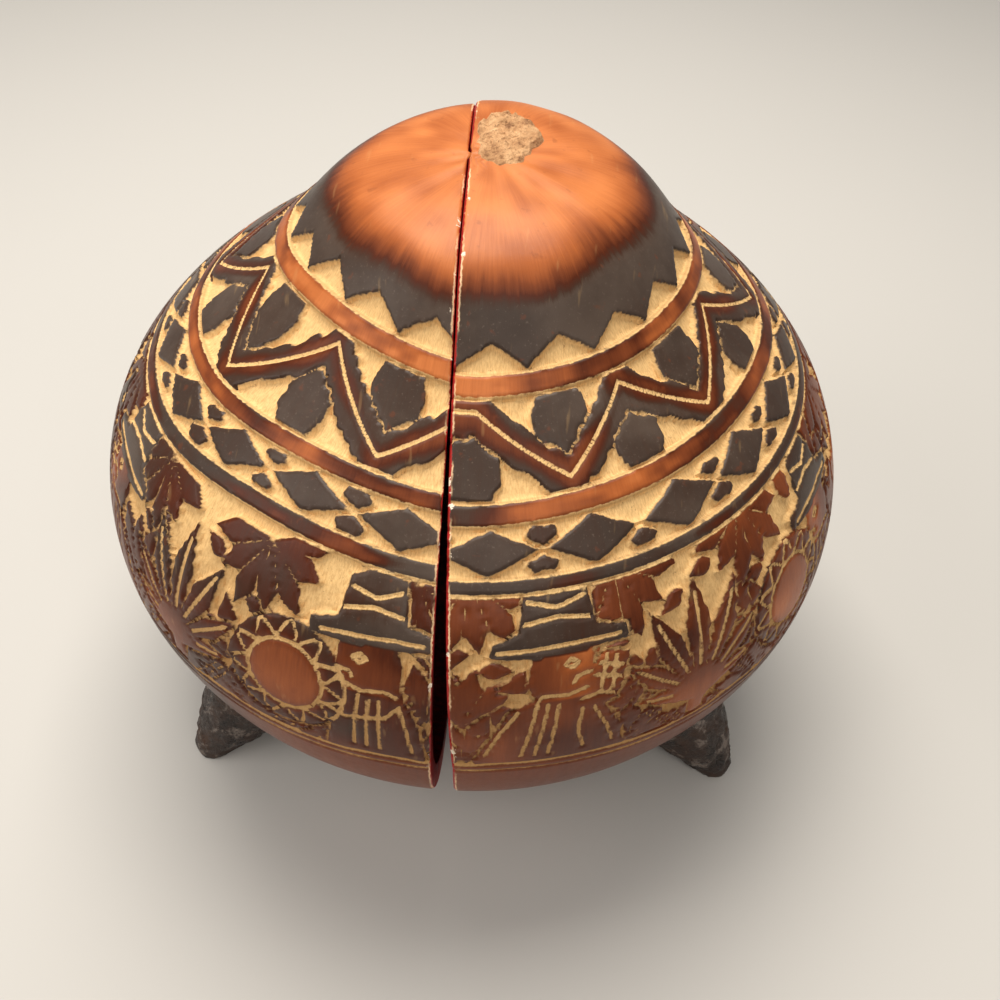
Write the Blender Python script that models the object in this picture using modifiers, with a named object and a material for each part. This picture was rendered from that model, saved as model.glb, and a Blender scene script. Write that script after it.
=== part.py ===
"""Carved gourd box.

A dried gourd is sawn upright into two halves, hollowed, and joined by a leather strap over the
back seam, so that it opens like a book. Bands of pattern are carved round its shoulder, and a
band of figures round its side. It stands on three small stone-like cone feet.

The gourd's own axis is upright at x = 0, the front is towards -y, and z = 0 is the table.
"""
import math

import bmesh
import bpy
import numpy as np
from mathutils import Vector

MM = 0.001  # every size below is in millimetres, and the model is in metres

# The gourd's form, as (height, radius) from the middle of its underside to the top of its dome
BELLY_RADIUS = 65.0
PROFILE = [
    (5.0, 0.0), (5.6, 18.0), (8.0, 32.0), (13.0, 42.0), (20.0, 50.0), (29.0, 57.0),
    (38.0, 61.8), (51.0, BELLY_RADIUS), (59.0, 64.6), (66.0, 62.8), (73.0, 59.4), (80.0, 53.6),
    (86.0, 46.7), (91.0, 39.9), (95.0, 34.9), (98.5, 31.3), (104.5, 25.2), (107.0, 21.5),
    (108.8, 16.0), (109.7, 9.0), (110.0, 0.0),
]
GOURD_Y = -0.7  # brings the middle of the whole object, strap included, to the origin
LEAN_FROM = 62.0  # the gourd grew a little crooked from this height up
LEAN_OVER = 40.0
LEAN_X = 1.1
LEAN_Y = 3.1
WALL = 4.0

# The scar of the stem, a low corky pad beside the saw cut
SCAR_X = 3.4
SCAR_Y = 8.8
SCAR_RADIUS = 6.0
SCAR_HEIGHT = 0.9
SCAR_EDGE = 1.4
SCAR_LOBES = ((3, 0.10, 1.0), (5, 0.07, 0.0))  # waves round its rim: how many, how far, where

# The saw cut: the halves meet at the top, and gape towards the front and the underside
SEAM_X = -2.4
SAW_KERF = 0.5
GAPE = 2.6
GAPE_LEFT = -0.35
GAPE_TOP = 93.0
GAPE_LOW = 49.0
GAPE_FROM_Y = 25.0
GAPE_OVER_Y = 70.0
SAW_CELLS = 8
SAW_DEEP = 160.0
SAW_TALL = 130.0
SAW_MIDDLE_Z = 55.0
SAW_WIDE = 90.0
SLIVER = 0.004  # the cuts leave no triangle thinner than this

# The carving: bare ground sunk between the bands and figures left standing
CARVE_DEPTH = 1.0
CARVE_EDGE = 0.8
SCARP = 0.4  # the width of the slope at a standing edge
PINCH = 0.25  # rows that meet stay this far apart
FULL_GAP = 1.5  # the carving is shallower where its gap is narrower than this
NOTCH_HEIGHT = 2.9
NOTCH_ROUND = 0.8
NOTCH_LEAST = 0.2
NOTCH_COLLAR = 2.2  # a plain row this far above the notches
ZIGZAG_RISE = 3.1  # half of the zigzag's strip, measured up the gourd
ZIGZAG_OFF_RING = 1.1
MEDALLION_WIDTH = 3.9
MEDALLION_HEIGHT = 3.6
DIAMOND_FILL = 0.94
FIGURE_BASE = 51.5
FIGURE_RADIUS = 62.0
DEGREE = math.pi / 180

# Each half's carving, in degrees round from the front seam. A ring is its upper edge, as
# (degrees, height), and its width. A notch or diamond is its first centre and its spacing.
# The zigzag turns at these degrees, first at the top and then at the bottom.
CARVING = {
    "right": {
        "side": 1,
        "rings": [
            ([(0, 96.1), (30, 97.0), (60, 97.9), (90, 97.7), (180, 97.6)], 2.2),
            ([(0, 85.6), (30, 86.7), (65, 87.5), (90, 86.8), (180, 87.0)], 2.0),
            ([(0, 79.2), (30, 79.8), (65, 80.5), (90, 80.6), (180, 80.6)], 1.6),
        ],
        "notch": (3.0, 18.0),
        "zigzag": (0.5, 18.0, 33.0, 51.5, 70.5, 92.0, 110.0, 128.0, 146.0, 164.0, 182.0),
        "diamond": (3.8, 16.3),
        "figures": [(13, "piper", 1), (34, "plant", 1), (59, "drummer", 1), (86, "llama", 1),
                    (112, "plant", 1), (133, "piper", -1), (159, "drummer", -1)],
    },
    "left": {
        "side": -1,
        "rings": [
            ([(0, 97.0), (25, 98.7), (50, 99.5), (75, 98.6), (90, 98.0), (180, 97.6)], 2.4),
            ([(0, 86.2), (30, 87.5), (60, 86.7), (90, 86.2), (180, 87.0)], 1.7),
            ([(0, 80.4), (35, 81.9), (60, 80.5), (90, 79.8), (180, 80.6)], 1.9),
        ],
        "notch": (12.0, 19.0),
        "zigzag": (-2.0, 17.0, 35.5, 57.5, 75.0, 95.0, 113.0, 131.0, 149.0, 167.0, 185.0),
        "diamond": (9.4, 16.9),
        "figures": [(16.5, "drummer", -1), (41.5, "plant", 1), (63, "piper", 1),
                    (90.5, "llama", -1), (113, "plant", 1), (137.5, "drummer", 1),
                    (163.5, "piper", 1)],
    },
}

# The figures' outlines, in millimetres along and up the gourd's side from their base line
PIPER = [
    (-8.5, 1.0), (8.0, 1.0), (6.6, 7.0), (6.0, 11.0), (9.0, 11.6), (11.2, 18.6), (7.0, 19.6),
    (5.4, 17.2), (5.2, 20.4), (10.0, 20.8), (10.2, 22.6), (4.6, 23.0), (3.6, 26.4),
    (-2.0, 26.6), (-3.4, 22.7), (-8.6, 21.7), (-8.4, 20.0), (-3.2, 19.8), (-3.8, 16.0),
    (-2.6, 13.2), (-5.6, 11.0),
]
DRUMMER = [
    (1.6, 1.0), (12.5, 1.0), (11.5, 8.0), (10.6, 13.4), (10.9, 18.0), (10.0, 20.2),
    (14.0, 20.6), (14.0, 22.4), (9.6, 23.0), (8.4, 26.4), (3.8, 26.4), (2.6, 22.8),
    (-2.0, 22.0), (-1.8, 20.2), (1.4, 20.0),
]
DRUM_MIDDLE = (-6.2, 11.6)
DRUM_RADIUS = 8.6
LLAMA = [
    (7.2, 1.0), (9.4, 1.0), (9.0, 8.0), (10.2, 11.5), (11.6, 19.0), (15.4, 19.4), (15.8, 21.4),
    (12.6, 23.0), (12.2, 25.6), (10.8, 25.4), (10.2, 23.0), (8.6, 20.6), (6.8, 16.2),
    (0.0, 16.6), (-7.5, 16.2), (-10.6, 17.8), (-11.8, 16.4), (-10.4, 13.0), (-10.2, 8.0),
    (-10.4, 1.0), (-8.2, 1.0), (-7.4, 7.0), (-6.2, 8.4), (-5.6, 1.0), (-3.4, 1.0), (-3.2, 8.2),
    (2.8, 8.0), (3.0, 1.0), (5.2, 1.0), (5.8, 8.0), (7.0, 6.8),
]
LEAVES = 7
LEAF_FAN = 156.0
LEAF_LENGTH = 19.5
LEAF_FILL = 0.42  # the share of the gap between leaves that half a leaf takes
LEAF_BELLY = 0.52  # where a leaf is widest, as a share of its length
LEAF_SHORTER = 0.72  # how fast the outer leaves shorten
LEAF_VALLEY = 4.0
LEAF_START = 6.4
FIGURE_SINK = 1.3  # how far the figures' roots reach below the carved ground
FIGURE_CUT = 6.5  # the spacing of the cuts that let a figure bend round the gourd

# The feet: (degrees round from the front, towards +x, and how far out the tip stands)
FEET = {"foot_right": (57.6, 62.0), "foot_left": (-55.4, 62.0), "foot_back": (-166.0, 62.0)}
FOOT_TIP_RADIUS = 2.7
FOOT_ROOT_RADIUS = 15.5
FOOT_ROOT_REACH = 40.3
FOOT_ROOT_HEIGHT = 25.4
FOOT_SIDES = 28
CLEARANCE = 0.3

# The leather strap over the back seam, a wing on each half, and the line that it folds on
STRAP_THICK = 1.2
STRAP_LOW = 39.0
STRAP_HIGH = 64.0
STRAP_HALF_WIDTH = 14.0
STRAP_OFF_SEAM = 1.5
STRAP_STEPS = 8
HINGE = (SEAM_X, 66.0, (STRAP_LOW + STRAP_HIGH) / 2)

# The skin's rows and columns: counts round the gourd, degrees between columns in the bands,
# the dome's rows down from its top and the heights of the rows on the underside
DOME_COLUMNS = 36
DOME_ROWS = (1.8, 3.6, 5.4, 7.2, 9.2, 11.4, 14.0, 17.5, 21.5)
NOTCH_COLUMN = 3.0
ZIGZAG_COLUMN = 2.6
DIAMOND_COLUMN = 2.8
PICTURE_COLUMNS = 40
PICTURE_ROWS = 6
LOWER_COLUMNS = 40
LOWER_ROWS = (46.0, 40.0, 33.0, 26.0, 19.0, 13.0, 8.6, 6.0, 5.2)
HOLLOW_STEPS = 32

COLOURS = {
    "gourd_half_right": (0.46, 0.20, 0.08, 1.0),
    "gourd_half_left": (0.40, 0.17, 0.07, 1.0),
    "foot_right": (0.09, 0.07, 0.06, 1.0),
    "foot_left": (0.12, 0.10, 0.09, 1.0),
    "foot_back": (0.10, 0.08, 0.07, 1.0),
    "hinge_strap_right": (0.21, 0.09, 0.04, 1.0),
    "hinge_strap_left": (0.21, 0.09, 0.04, 1.0),
}
ROUGHNESS = {"gourd": 0.35, "foot": 0.55, "hinge": 0.6}


def through(points, x):
    """The smooth curve through (position, value) points, read at x."""
    position, value = np.array(points, float).T
    slope = np.gradient(value, position)
    left = np.clip(np.searchsorted(position, x, side="right") - 1, 0, len(position) - 2)
    width = position[left + 1] - position[left]
    t = np.clip((x - position[left]) / width, 0, 1)
    share = t * t * (3 - 2 * t)
    bend = slope[left] * t * (1 - t) ** 2 - slope[left + 1] * t * t * (1 - t)
    return value[left] * (1 - share) + value[left + 1] * share + bend * width


def smooth_profile():
    """The profile as close points: the reach along it, the height and the radius."""
    height, radius = np.array(PROFILE).T
    reach = np.concatenate([[0], np.cumsum(np.hypot(np.diff(height), np.diff(radius)))])
    fine = np.linspace(0, reach[-1], 3000)
    heights = through(list(zip(reach, height)), fine)
    radii = through(list(zip(reach, radius)), fine)
    return fine, np.maximum.accumulate(heights), np.maximum(radii, 0)


REACH, HEIGHT, RADIUS = smooth_profile()


def reach_at(height):
    """How far along the profile a height is."""
    return np.interp(height, HEIGHT, REACH)


def ease(value):
    """A smooth step from 0 to 1."""
    t = np.clip(value, 0, 1)
    return t * t * (3 - 2 * t)


def lean(height):
    """How far the crooked growth moves the gourd's middle at a height."""
    share = ease((height - LEAN_FROM) / LEAN_OVER)
    return LEAN_X * share, LEAN_Y * share + GOURD_Y


def scar_lift(x, y, side):
    """The corky pad that stands up where the stem was, on the right half."""
    away = np.hypot(x - SCAR_X, y - SCAR_Y)
    turn = np.arctan2(y - SCAR_Y, x - SCAR_X)
    rim = SCAR_RADIUS * (1 + sum(far * np.sin(count * turn + start)
                                 for count, far, start in SCAR_LOBES))
    lift = SCAR_HEIGHT * ease((rim - away) / SCAR_EDGE)
    return lift if side > 0 else 0 * lift


def skin_point(turn, reach, sunk, side):
    """Points on the gourd's skin: turn is the angle from the front, towards +x."""
    height = np.interp(reach, REACH, HEIGHT)
    radius = np.interp(reach, REACH, RADIUS)
    step = 0.2
    rise = np.interp(reach + step, REACH, HEIGHT) - np.interp(reach - step, REACH, HEIGHT)
    spread = np.interp(reach + step, REACH, RADIUS) - np.interp(reach - step, REACH, RADIUS)
    length = np.hypot(rise, spread)
    off_x, off_y = lean(height)
    out = radius - sunk * rise / length
    x = off_x + out * np.sin(turn)
    y = off_y - out * np.cos(turn)
    z = height + sunk * spread / length
    return np.stack([x, y, z + scar_lift(x, y, side) * (z > LEAN_FROM)], axis=-1)


def disc(x, y, half_x, half_y):
    """The distance outside an oval round the origin."""
    return (np.hypot(x / half_x, y / half_y) - 1) * min(half_x, half_y)


def arc(middle, radius, start, end, count):
    """Points on an arc, from one angle to another, in degrees."""
    angles = np.radians(np.linspace(start, end, count))
    return [(middle[0] + radius * math.cos(angle), middle[1] + radius * math.sin(angle))
            for angle in angles]


def leaf_fan():
    """A plant: a short stem and a fan of pointed leaves, the middle ones the longest."""
    def out_from_start(lean_over, along, across=0.0):
        return (along * math.sin(lean_over) + across * math.cos(lean_over),
                LEAF_START + along * math.cos(lean_over) - across * math.sin(lean_over))

    outline = [(-1.3, 1.0), (1.3, 1.0), (1.5, LEAF_START - 2)]
    step = math.radians(LEAF_FAN) / (LEAVES - 1)
    for leaf in range(LEAVES):
        lean_over = math.radians(LEAF_FAN) / 2 - leaf * step
        length = LEAF_LENGTH * math.cos(lean_over * LEAF_SHORTER)
        belly = length * LEAF_BELLY
        half_width = LEAF_FILL * belly * step
        outline += [out_from_start(lean_over, belly, half_width),
                    out_from_start(lean_over, length),
                    out_from_start(lean_over, belly, -half_width),
                    out_from_start(lean_over - step / 2, LEAF_VALLEY)]
    return outline[:-1] + [(-1.5, LEAF_START - 2)]


def figure_outline(name):
    """One figure's outline, counter-clockwise."""
    if name == "drummer":
        return DRUMMER + arc(DRUM_MIDDLE, DRUM_RADIUS, 50, 315, 15)
    return {"piper": PIPER, "llama": LLAMA, "plant": leaf_fan()}[name]


def ring_edge(carving, ring, degrees, lower):
    """The reach of a ring's upper or lower edge."""
    points, width = carving["rings"][ring]
    return reach_at(through(points, degrees) - (width if lower else 0))


def columns(marks, spacing):
    """Degrees from seam to seam, with a column on every mark and even steps between them."""
    inside = [mark for mark in marks if spacing / 2 < mark < 180 - spacing / 2]
    stops = [0.0] + inside + [180.0]
    degrees = [0.0]
    for start, end in zip(stops, stops[1:]):
        count = max(1, round((end - start) / spacing))
        degrees += list(np.linspace(start, end, count + 1)[1:])
    return np.array(degrees)


def wave(degrees, first, spacing):
    """A row of teeth: 1 at each tooth's middle and 0 half way to the next."""
    offset = (degrees - first) / spacing
    return 1 - np.abs(offset - np.round(offset)) * 2


def deepened(gap):
    """How deep the carving is where only a gap this wide is left for it."""
    return CARVE_DEPTH * ease(gap / FULL_GAP)


def medallion_rise(carving, degrees, reach, upper, lower):
    """1 on the dark medallions that fill the zigzag's triangles, and 0 round them."""
    scale = DEGREE * np.interp(reach, REACH, RADIUS)
    nearest = np.full(np.shape(degrees), 99.0)
    for index, turn in enumerate(carving["zigzag"]):
        # those over a low turn hang from the ring above, the others stand on the ring below
        hangs = index % 2 == 1
        rest = upper - MEDALLION_HEIGHT if hangs else lower + MEDALLION_HEIGHT
        away = disc((degrees - turn) * scale, reach - rest, MEDALLION_WIDTH, MEDALLION_HEIGHT + 0.6)
        nearest = np.minimum(nearest, away)
    return 1 - np.clip(nearest / CARVE_EDGE + 0.5, 0, 1)


def plain_rows(count, reaches):
    """Rows round the dome or the underside, which have no carving."""
    degrees = np.linspace(0, 180, count // 2 + 1)
    return [(degrees, np.full(len(degrees), reach), np.zeros(len(degrees))) for reach in reaches]


def notch_rows(carving):
    """The notches: bare teeth cut into the dark dome, above the first ring."""
    first, spacing = carving["notch"]
    marks = np.arange(first - spacing, 190, spacing / 2)
    degrees = columns(list(marks[marks > 0]), NOTCH_COLUMN)
    ring = ring_edge(carving, 0, degrees, False)
    tooth = wave(degrees, first, spacing) ** NOTCH_ROUND
    rim = through(carving["rings"][0][0], degrees)
    edge = reach_at(rim + NOTCH_HEIGHT * tooth + NOTCH_LEAST)
    gap = edge - ring
    slope = np.minimum(SCARP, gap / 3)
    deep = deepened(gap)
    flat = np.zeros(len(degrees))
    return [(degrees, edge + NOTCH_COLLAR, flat), (degrees, edge, flat), (degrees, edge - slope, deep),
            (degrees, ring + slope, deep), (degrees, ring, flat)]


def zigzag_rows(carving):
    """The zigzag: a standing strip, with sunk ground and medallions in its triangles."""
    turns = np.array(carving["zigzag"])
    high = through(carving["rings"][0][0], turns) - carving["rings"][0][1] - ZIGZAG_OFF_RING
    low = through(carving["rings"][1][0], turns) + ZIGZAG_OFF_RING
    middles = reach_at(np.where(np.arange(len(turns)) % 2 == 0, high, low))
    degrees = columns(list(turns), ZIGZAG_COLUMN)
    upper = ring_edge(carving, 0, degrees, True)
    lower = ring_edge(carving, 1, degrees, False)
    middle = np.interp(degrees, turns, middles)
    top = np.minimum(middle + ZIGZAG_RISE, upper - PINCH)
    foot = np.maximum(middle - ZIGZAG_RISE, lower + PINCH)
    flat = np.zeros(len(degrees))
    rows = [(degrees, upper, flat)]
    for near, far, way in ((upper, top, -1), (lower, foot, 1)):
        gap = np.abs(near - far)
        slope = np.minimum(SCARP, gap / 4)
        inner = [near + way * slope + (far - near - 2 * way * slope) * share
                 for share in (0.0, 0.33, 0.67, 1.0)]
        ground = [(degrees, reach, deepened(gap)
                   * (1 - medallion_rise(carving, degrees, reach, upper, lower)))
                  for reach in inner]
        if way < 0:
            rows += ground + [(degrees, top, flat), (degrees, foot, flat)]
        else:
            rows += ground[::-1] + [(degrees, lower, flat)]
    return rows


def diamond_rows(carving):
    """The row of standing diamonds, point to point, between the second and third ring."""
    first, spacing = carving["diamond"]
    marks = np.arange(first - spacing, 190, spacing / 2)
    degrees = columns(list(marks[marks > 0]), DIAMOND_COLUMN)
    upper = ring_edge(carving, 1, degrees, True)
    lower = ring_edge(carving, 2, degrees, False)
    middle = (upper + lower) / 2
    tall = (upper - lower) / 2 * wave(degrees, first, spacing) * DIAMOND_FILL
    tall = np.maximum(tall, PINCH / 2)
    gap = (upper - lower) / 2 - tall
    slope = np.minimum(SCARP, gap / 3)
    deep = deepened(gap)
    narrow = CARVE_DEPTH - deepened(tall)
    flat = np.zeros(len(degrees))
    return [(degrees, upper, flat), (degrees, upper - slope, deep),
            (degrees, middle + tall + slope, deep), (degrees, middle + tall, narrow),
            (degrees, middle - tall, narrow), (degrees, middle - tall - slope, deep),
            (degrees, lower + slope, deep), (degrees, lower, flat)]


def picture_rows(carving):
    """The picture band's sunk ground, from the third ring down to the figures' base line."""
    degrees = np.linspace(0, 180, PICTURE_COLUMNS + 1)
    ledge = ring_edge(carving, 2, degrees, True)
    base = np.full(len(degrees), reach_at(FIGURE_BASE))
    flat = np.zeros(len(degrees))
    ground = [(degrees, (ledge - SCARP) * (1 - share) + (base + SCARP) * share,
               flat + CARVE_DEPTH) for share in np.linspace(0, 1, PICTURE_ROWS)]
    return [(degrees, ledge, flat)] + ground + [(degrees, base, flat)]


def skin_rows(carving):
    """All rows of the skin from the dome down, each as degrees from seam to seam, the reach
    along the profile and the depth of the carving."""
    rows = plain_rows(DOME_COLUMNS, [REACH[-1] - down for down in DOME_ROWS])
    rows += notch_rows(carving) + zigzag_rows(carving) + diamond_rows(carving)
    rows += picture_rows(carving)
    return rows + plain_rows(LOWER_COLUMNS, [reach_at(height) for height in LOWER_ROWS])


def stitch(mesh, upper, lower):
    """Join two closed rows of points, of like or unlike counts, with triangles."""
    above = 0
    below = 0
    while above < len(upper) or below < len(lower):
        here = upper[above % len(upper)]
        there = lower[below % len(lower)]
        if (above + 1) * len(lower) <= (below + 1) * len(upper) and above < len(upper):
            above += 1
            mesh.faces.new((here, there, upper[above % len(upper)]))
        else:
            below += 1
            mesh.faces.new((here, there, lower[below % len(lower)]))


def whole_gourd(name, carving):
    """The gourd's whole skin as one closed body, carved the way one of its halves is.

    It is a loft and not a turned shape, because its rows follow hand-drawn lines and each
    stretch has its own number of points.
    """
    mesh = bmesh.new()
    side = carving["side"]
    rows = []
    for degrees, reach, sunk in skin_rows(carving):
        # the far side, which is sawn away, mirrors the half that is kept
        turn = np.concatenate([degrees, 360 - degrees[-2:0:-1]]) * DEGREE
        reach = np.concatenate([reach, reach[-2:0:-1]])
        sunk = np.concatenate([sunk, sunk[-2:0:-1]])
        points = skin_point(side * turn, reach, sunk, side)
        rows.append([mesh.verts.new(point * MM) for point in points])
    for upper, lower in zip(rows, rows[1:]):
        stitch(mesh, upper, lower)
    for pole, row in ((REACH[-1], rows[0]), (0.0, rows[-1])):
        middle = mesh.verts.new(skin_point(np.array(0.0), np.array(pole), 0.0, side) * MM)
        for index, vert in enumerate(row):
            mesh.faces.new((vert, row[(index + 1) % len(row)], middle))
    bmesh.ops.recalc_face_normals(mesh, faces=mesh.faces)
    return as_object(name, mesh)


def figure_plate(figure, middle, facing, side):
    """One figure, as a curved plate that is left standing in the picture band.

    It is drawn flat, cut into strips so that it can bend, thickened, and laid on the gourd.
    """
    plate = bmesh.new()
    start = middle * DEGREE * FIGURE_RADIUS
    plate.faces.new([plate.verts.new((start + x * facing, y, 0))
                     for x, y in figure_outline(figure)])
    bmesh.ops.triangulate(plate, faces=plate.faces)
    for along in np.arange(FIGURE_CUT, math.pi * FIGURE_RADIUS, FIGURE_CUT):
        bmesh.ops.bisect_plane(plate, geom=plate.verts[:] + plate.edges[:] + plate.faces[:],
                               dist=0.01, plane_co=(along, 0, 0), plane_no=(1, 0, 0))
    bmesh.ops.triangulate(plate, faces=plate.faces)
    rooted = bmesh.ops.extrude_face_region(plate, geom=plate.faces[:])["geom"]
    for vert in [piece for piece in rooted if isinstance(piece, bmesh.types.BMVert)]:
        vert.co.z = CARVE_DEPTH + FIGURE_SINK
    for vert in plate.verts:
        turn = np.array(side * vert.co.x / FIGURE_RADIUS)
        reach = np.array(reach_at(FIGURE_BASE) + vert.co.y)
        vert.co = Vector(skin_point(turn, reach, vert.co.z, side)) * MM
    bmesh.ops.recalc_face_normals(plate, faces=plate.faces)
    if plate.calc_volume(signed=True) < 0:
        bmesh.ops.reverse_faces(plate, faces=plate.faces)
    return plate


def raised_figures(name, carving):
    """All the figures of one half's picture band, in one tool."""
    mesh = bmesh.new()
    for middle, figure, facing in carving["figures"]:
        plate = figure_plate(figure, middle, facing, carving["side"])
        data = bpy.data.meshes.new(figure)
        plate.to_mesh(data)
        plate.free()
        mesh.from_mesh(data)
        bpy.data.meshes.remove(data)
    return as_cutter(as_object(name, mesh))


def as_object(name, mesh, collection=None):
    """Put a mesh in an object of its own."""
    data = bpy.data.meshes.new(name)
    mesh.to_mesh(data)
    mesh.free()
    item = bpy.data.objects.new(name, data)
    (collection or PARTS).objects.link(item)
    return item


def as_cutter(item):
    """Keep an object as a tool that shapes others, out of the object itself."""
    for collection in list(item.users_collection):
        collection.objects.unlink(item)
    CUTTERS.objects.link(item)
    item.hide_render = True
    item.display_type = "WIRE"
    return item


def cut(item, tool, operation):
    """Cut an object with a tool, keep only what the tool holds, or join the two."""
    modifier = item.modifiers.new(operation.lower(), "BOOLEAN")
    modifier.operation = operation
    modifier.solver = "EXACT"
    modifier.object = tool


def turned(name, offset, low=None, high=None, steps=HOLLOW_STEPS, angle=2 * math.pi, spacing=6.5):
    """The gourd's plain profile moved out by an offset, turned round its axis."""
    start = REACH[0] if low is None else reach_at(low)
    end = REACH[-1] if high is None else reach_at(high)
    count = max(3, round((end - start) / spacing))
    profile = []
    for reach in np.linspace(end, start, count):
        point = skin_point(np.array(math.pi / 2), reach, -offset, -1)
        off_x = lean(np.interp(reach, REACH, HEIGHT))[0]
        profile.append((max(0.0, point[0] - off_x), 0.0, point[2]))
    mesh = bmesh.new()
    verts = [mesh.verts.new(Vector(point) * MM) for point in profile]
    for upper, lower in zip(verts, verts[1:]):
        mesh.edges.new((upper, lower))
    item = as_object(name, mesh)
    screw = item.modifiers.new("turn", "SCREW")
    screw.angle = angle
    screw.steps = steps
    screw.render_steps = steps
    screw.use_merge_vertices = True
    screw.merge_threshold = 0.00001
    return item


def apply_modifiers(item):
    """Replace an object's mesh with the one that its modifiers make."""
    graph = bpy.context.evaluated_depsgraph_get()
    data = bpy.data.meshes.new_from_object(item.evaluated_get(graph))
    item.modifiers.clear()
    item.data = data
    return item


def bend_with_gourd(item):
    """Give a turned shape the gourd's own crooked growth."""
    for vert in item.data.vertices:
        off_x, off_y = lean(vert.co.z / MM)
        vert.co.x += off_x * MM
        vert.co.y += off_y * MM
    return item


def hollow_tool():
    """The hollow inside: the same profile, a wall's thickness in."""
    hollow = bend_with_gourd(apply_modifiers(turned("hollow", -WALL)))
    return as_cutter(hollow)


def seam_place(side, y, z):
    """Where the sawn face of a half stands: the cut gapes at the front, below the shoulder."""
    front = ease((GAPE_FROM_Y - y) / GAPE_OVER_Y)
    low = np.clip((GAPE_TOP - z) / (GAPE_TOP - GAPE_LOW), 0, 1)
    return SEAM_X + side * SAW_KERF / 2 + (GAPE if side > 0 else GAPE_LEFT) * front * low


def saw_block(side):
    """A block whose near face is the saw cut: what it holds is kept as one half."""
    mesh = bmesh.new()
    bmesh.ops.create_grid(mesh, x_segments=SAW_CELLS, y_segments=SAW_CELLS, size=0.5)
    for vert in mesh.verts:
        y = vert.co.x * SAW_DEEP
        z = SAW_MIDDLE_Z + vert.co.y * SAW_TALL
        vert.co = Vector((seam_place(side, y, z), y, z)) * MM
    bmesh.ops.triangulate(mesh, faces=mesh.faces)
    far = bmesh.ops.extrude_face_region(mesh, geom=mesh.faces[:])
    moved = [piece for piece in far["geom"] if isinstance(piece, bmesh.types.BMVert)]
    bmesh.ops.translate(mesh, verts=moved, vec=(side * SAW_WIDE * MM, 0, 0))
    bmesh.ops.recalc_face_normals(mesh, faces=mesh.faces)
    name = "saw_block_right" if side > 0 else "saw_block_left"
    return as_object(name, mesh, CUTTERS)


def gourd_half(name, carving, hollow):
    """One half: the carved gourd sawn along the seam and hollowed."""
    half = whole_gourd(name, carving)
    cut(half, raised_figures(name.replace("gourd_half", "figures"), carving), "UNION")
    cut(half, as_cutter(saw_block(carving["side"])), "INTERSECT")
    cut(half, hollow, "DIFFERENCE")
    apply_modifiers(half)
    dissolve_slivers(half)
    finish(half)
    return half


def dissolve_slivers(item):
    """Take out the thinnest triangles, which the cuts leave behind."""
    mesh = bmesh.new()
    mesh.from_mesh(item.data)
    bmesh.ops.triangulate(mesh, faces=mesh.faces)
    bmesh.ops.dissolve_degenerate(mesh, dist=SLIVER * MM, edges=mesh.edges)
    bmesh.ops.triangulate(mesh, faces=mesh.faces)
    mesh.to_mesh(item.data)
    mesh.free()


def foot(name, degrees, reach_out, body, floor):
    """A blunt cone foot: sunk against the gourd, splayed out, its tip ground flat."""
    turn = degrees * DEGREE
    out = Vector((math.sin(turn), -math.cos(turn), 0))
    middle = Vector((0, GOURD_Y, 0))
    tip = middle + out * reach_out
    root = middle + out * FOOT_ROOT_REACH + Vector((0, 0, FOOT_ROOT_HEIGHT))
    run = tip - root
    tip = tip + run.normalized() * FOOT_TIP_RADIUS * 0.5
    bpy.ops.mesh.primitive_cone_add(vertices=FOOT_SIDES, radius1=FOOT_ROOT_RADIUS * MM,
                                    radius2=FOOT_TIP_RADIUS * MM,
                                    depth=(tip - root).length * MM)
    item = bpy.context.object
    item.name = name
    item.data.name = name
    item.location = (tip + root) / 2 * MM
    item.rotation_euler = run.to_track_quat("Z", "Y").to_euler()
    bevel = item.modifiers.new("worn_tip", "BEVEL")
    bevel.width = 1.0 * MM
    bevel.segments = 2
    cut(item, body, "DIFFERENCE")
    cut(item, floor, "DIFFERENCE")
    move_to_parts(item)
    finish(item)
    return item


def floor_tool():
    """What lies below the table, which grinds the feet's tips flat."""
    bpy.ops.mesh.primitive_cube_add(size=1, location=(0, 0, -20 * MM))
    floor = bpy.context.object
    floor.name = "table"
    floor.scale = (0.2, 0.2, 40 * MM)
    return as_cutter(floor)


def move_to_parts(item):
    """Take an object that an operator made into the part's own collection."""
    for collection in list(item.users_collection):
        collection.objects.unlink(item)
    PARTS.objects.link(item)


def strap_wing(name, side):
    """One wing of the leather strap: it lies on the gourd's back and stops short of the fold."""
    near = math.asin((STRAP_OFF_SEAM + side * SEAM_X) / BELLY_RADIUS)
    far = math.asin((STRAP_HALF_WIDTH + side * SEAM_X) / BELLY_RADIUS)
    wing = turned(name, CLEARANCE, STRAP_LOW, STRAP_HIGH, STRAP_STEPS, far - near, 3.2)
    # the profile starts at +x: turn it to the back, and to this wing's side of the seam
    start = math.pi / 2 - far if side > 0 else math.pi / 2 + near
    wing.rotation_euler = (0, 0, start)
    wing.location = (0, GOURD_Y * MM, 0)
    leather = wing.modifiers.new("leather", "SOLIDIFY")
    leather.thickness = STRAP_THICK * MM
    leather.offset = 1
    finish(wing)
    return wing


def hinge_pivot():
    """The point that the right half turns about, on the fold of the strap."""
    pivot = bpy.data.objects.new("hinge_pivot", None)
    pivot.location = Vector(HINGE) * MM
    PARTS.objects.link(pivot)
    return pivot


def hang_on(pivot, item):
    """Let a piece turn with the pivot, and leave it where it stands."""
    item.parent = pivot
    item.matrix_parent_inverse.translation = -pivot.location


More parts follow.
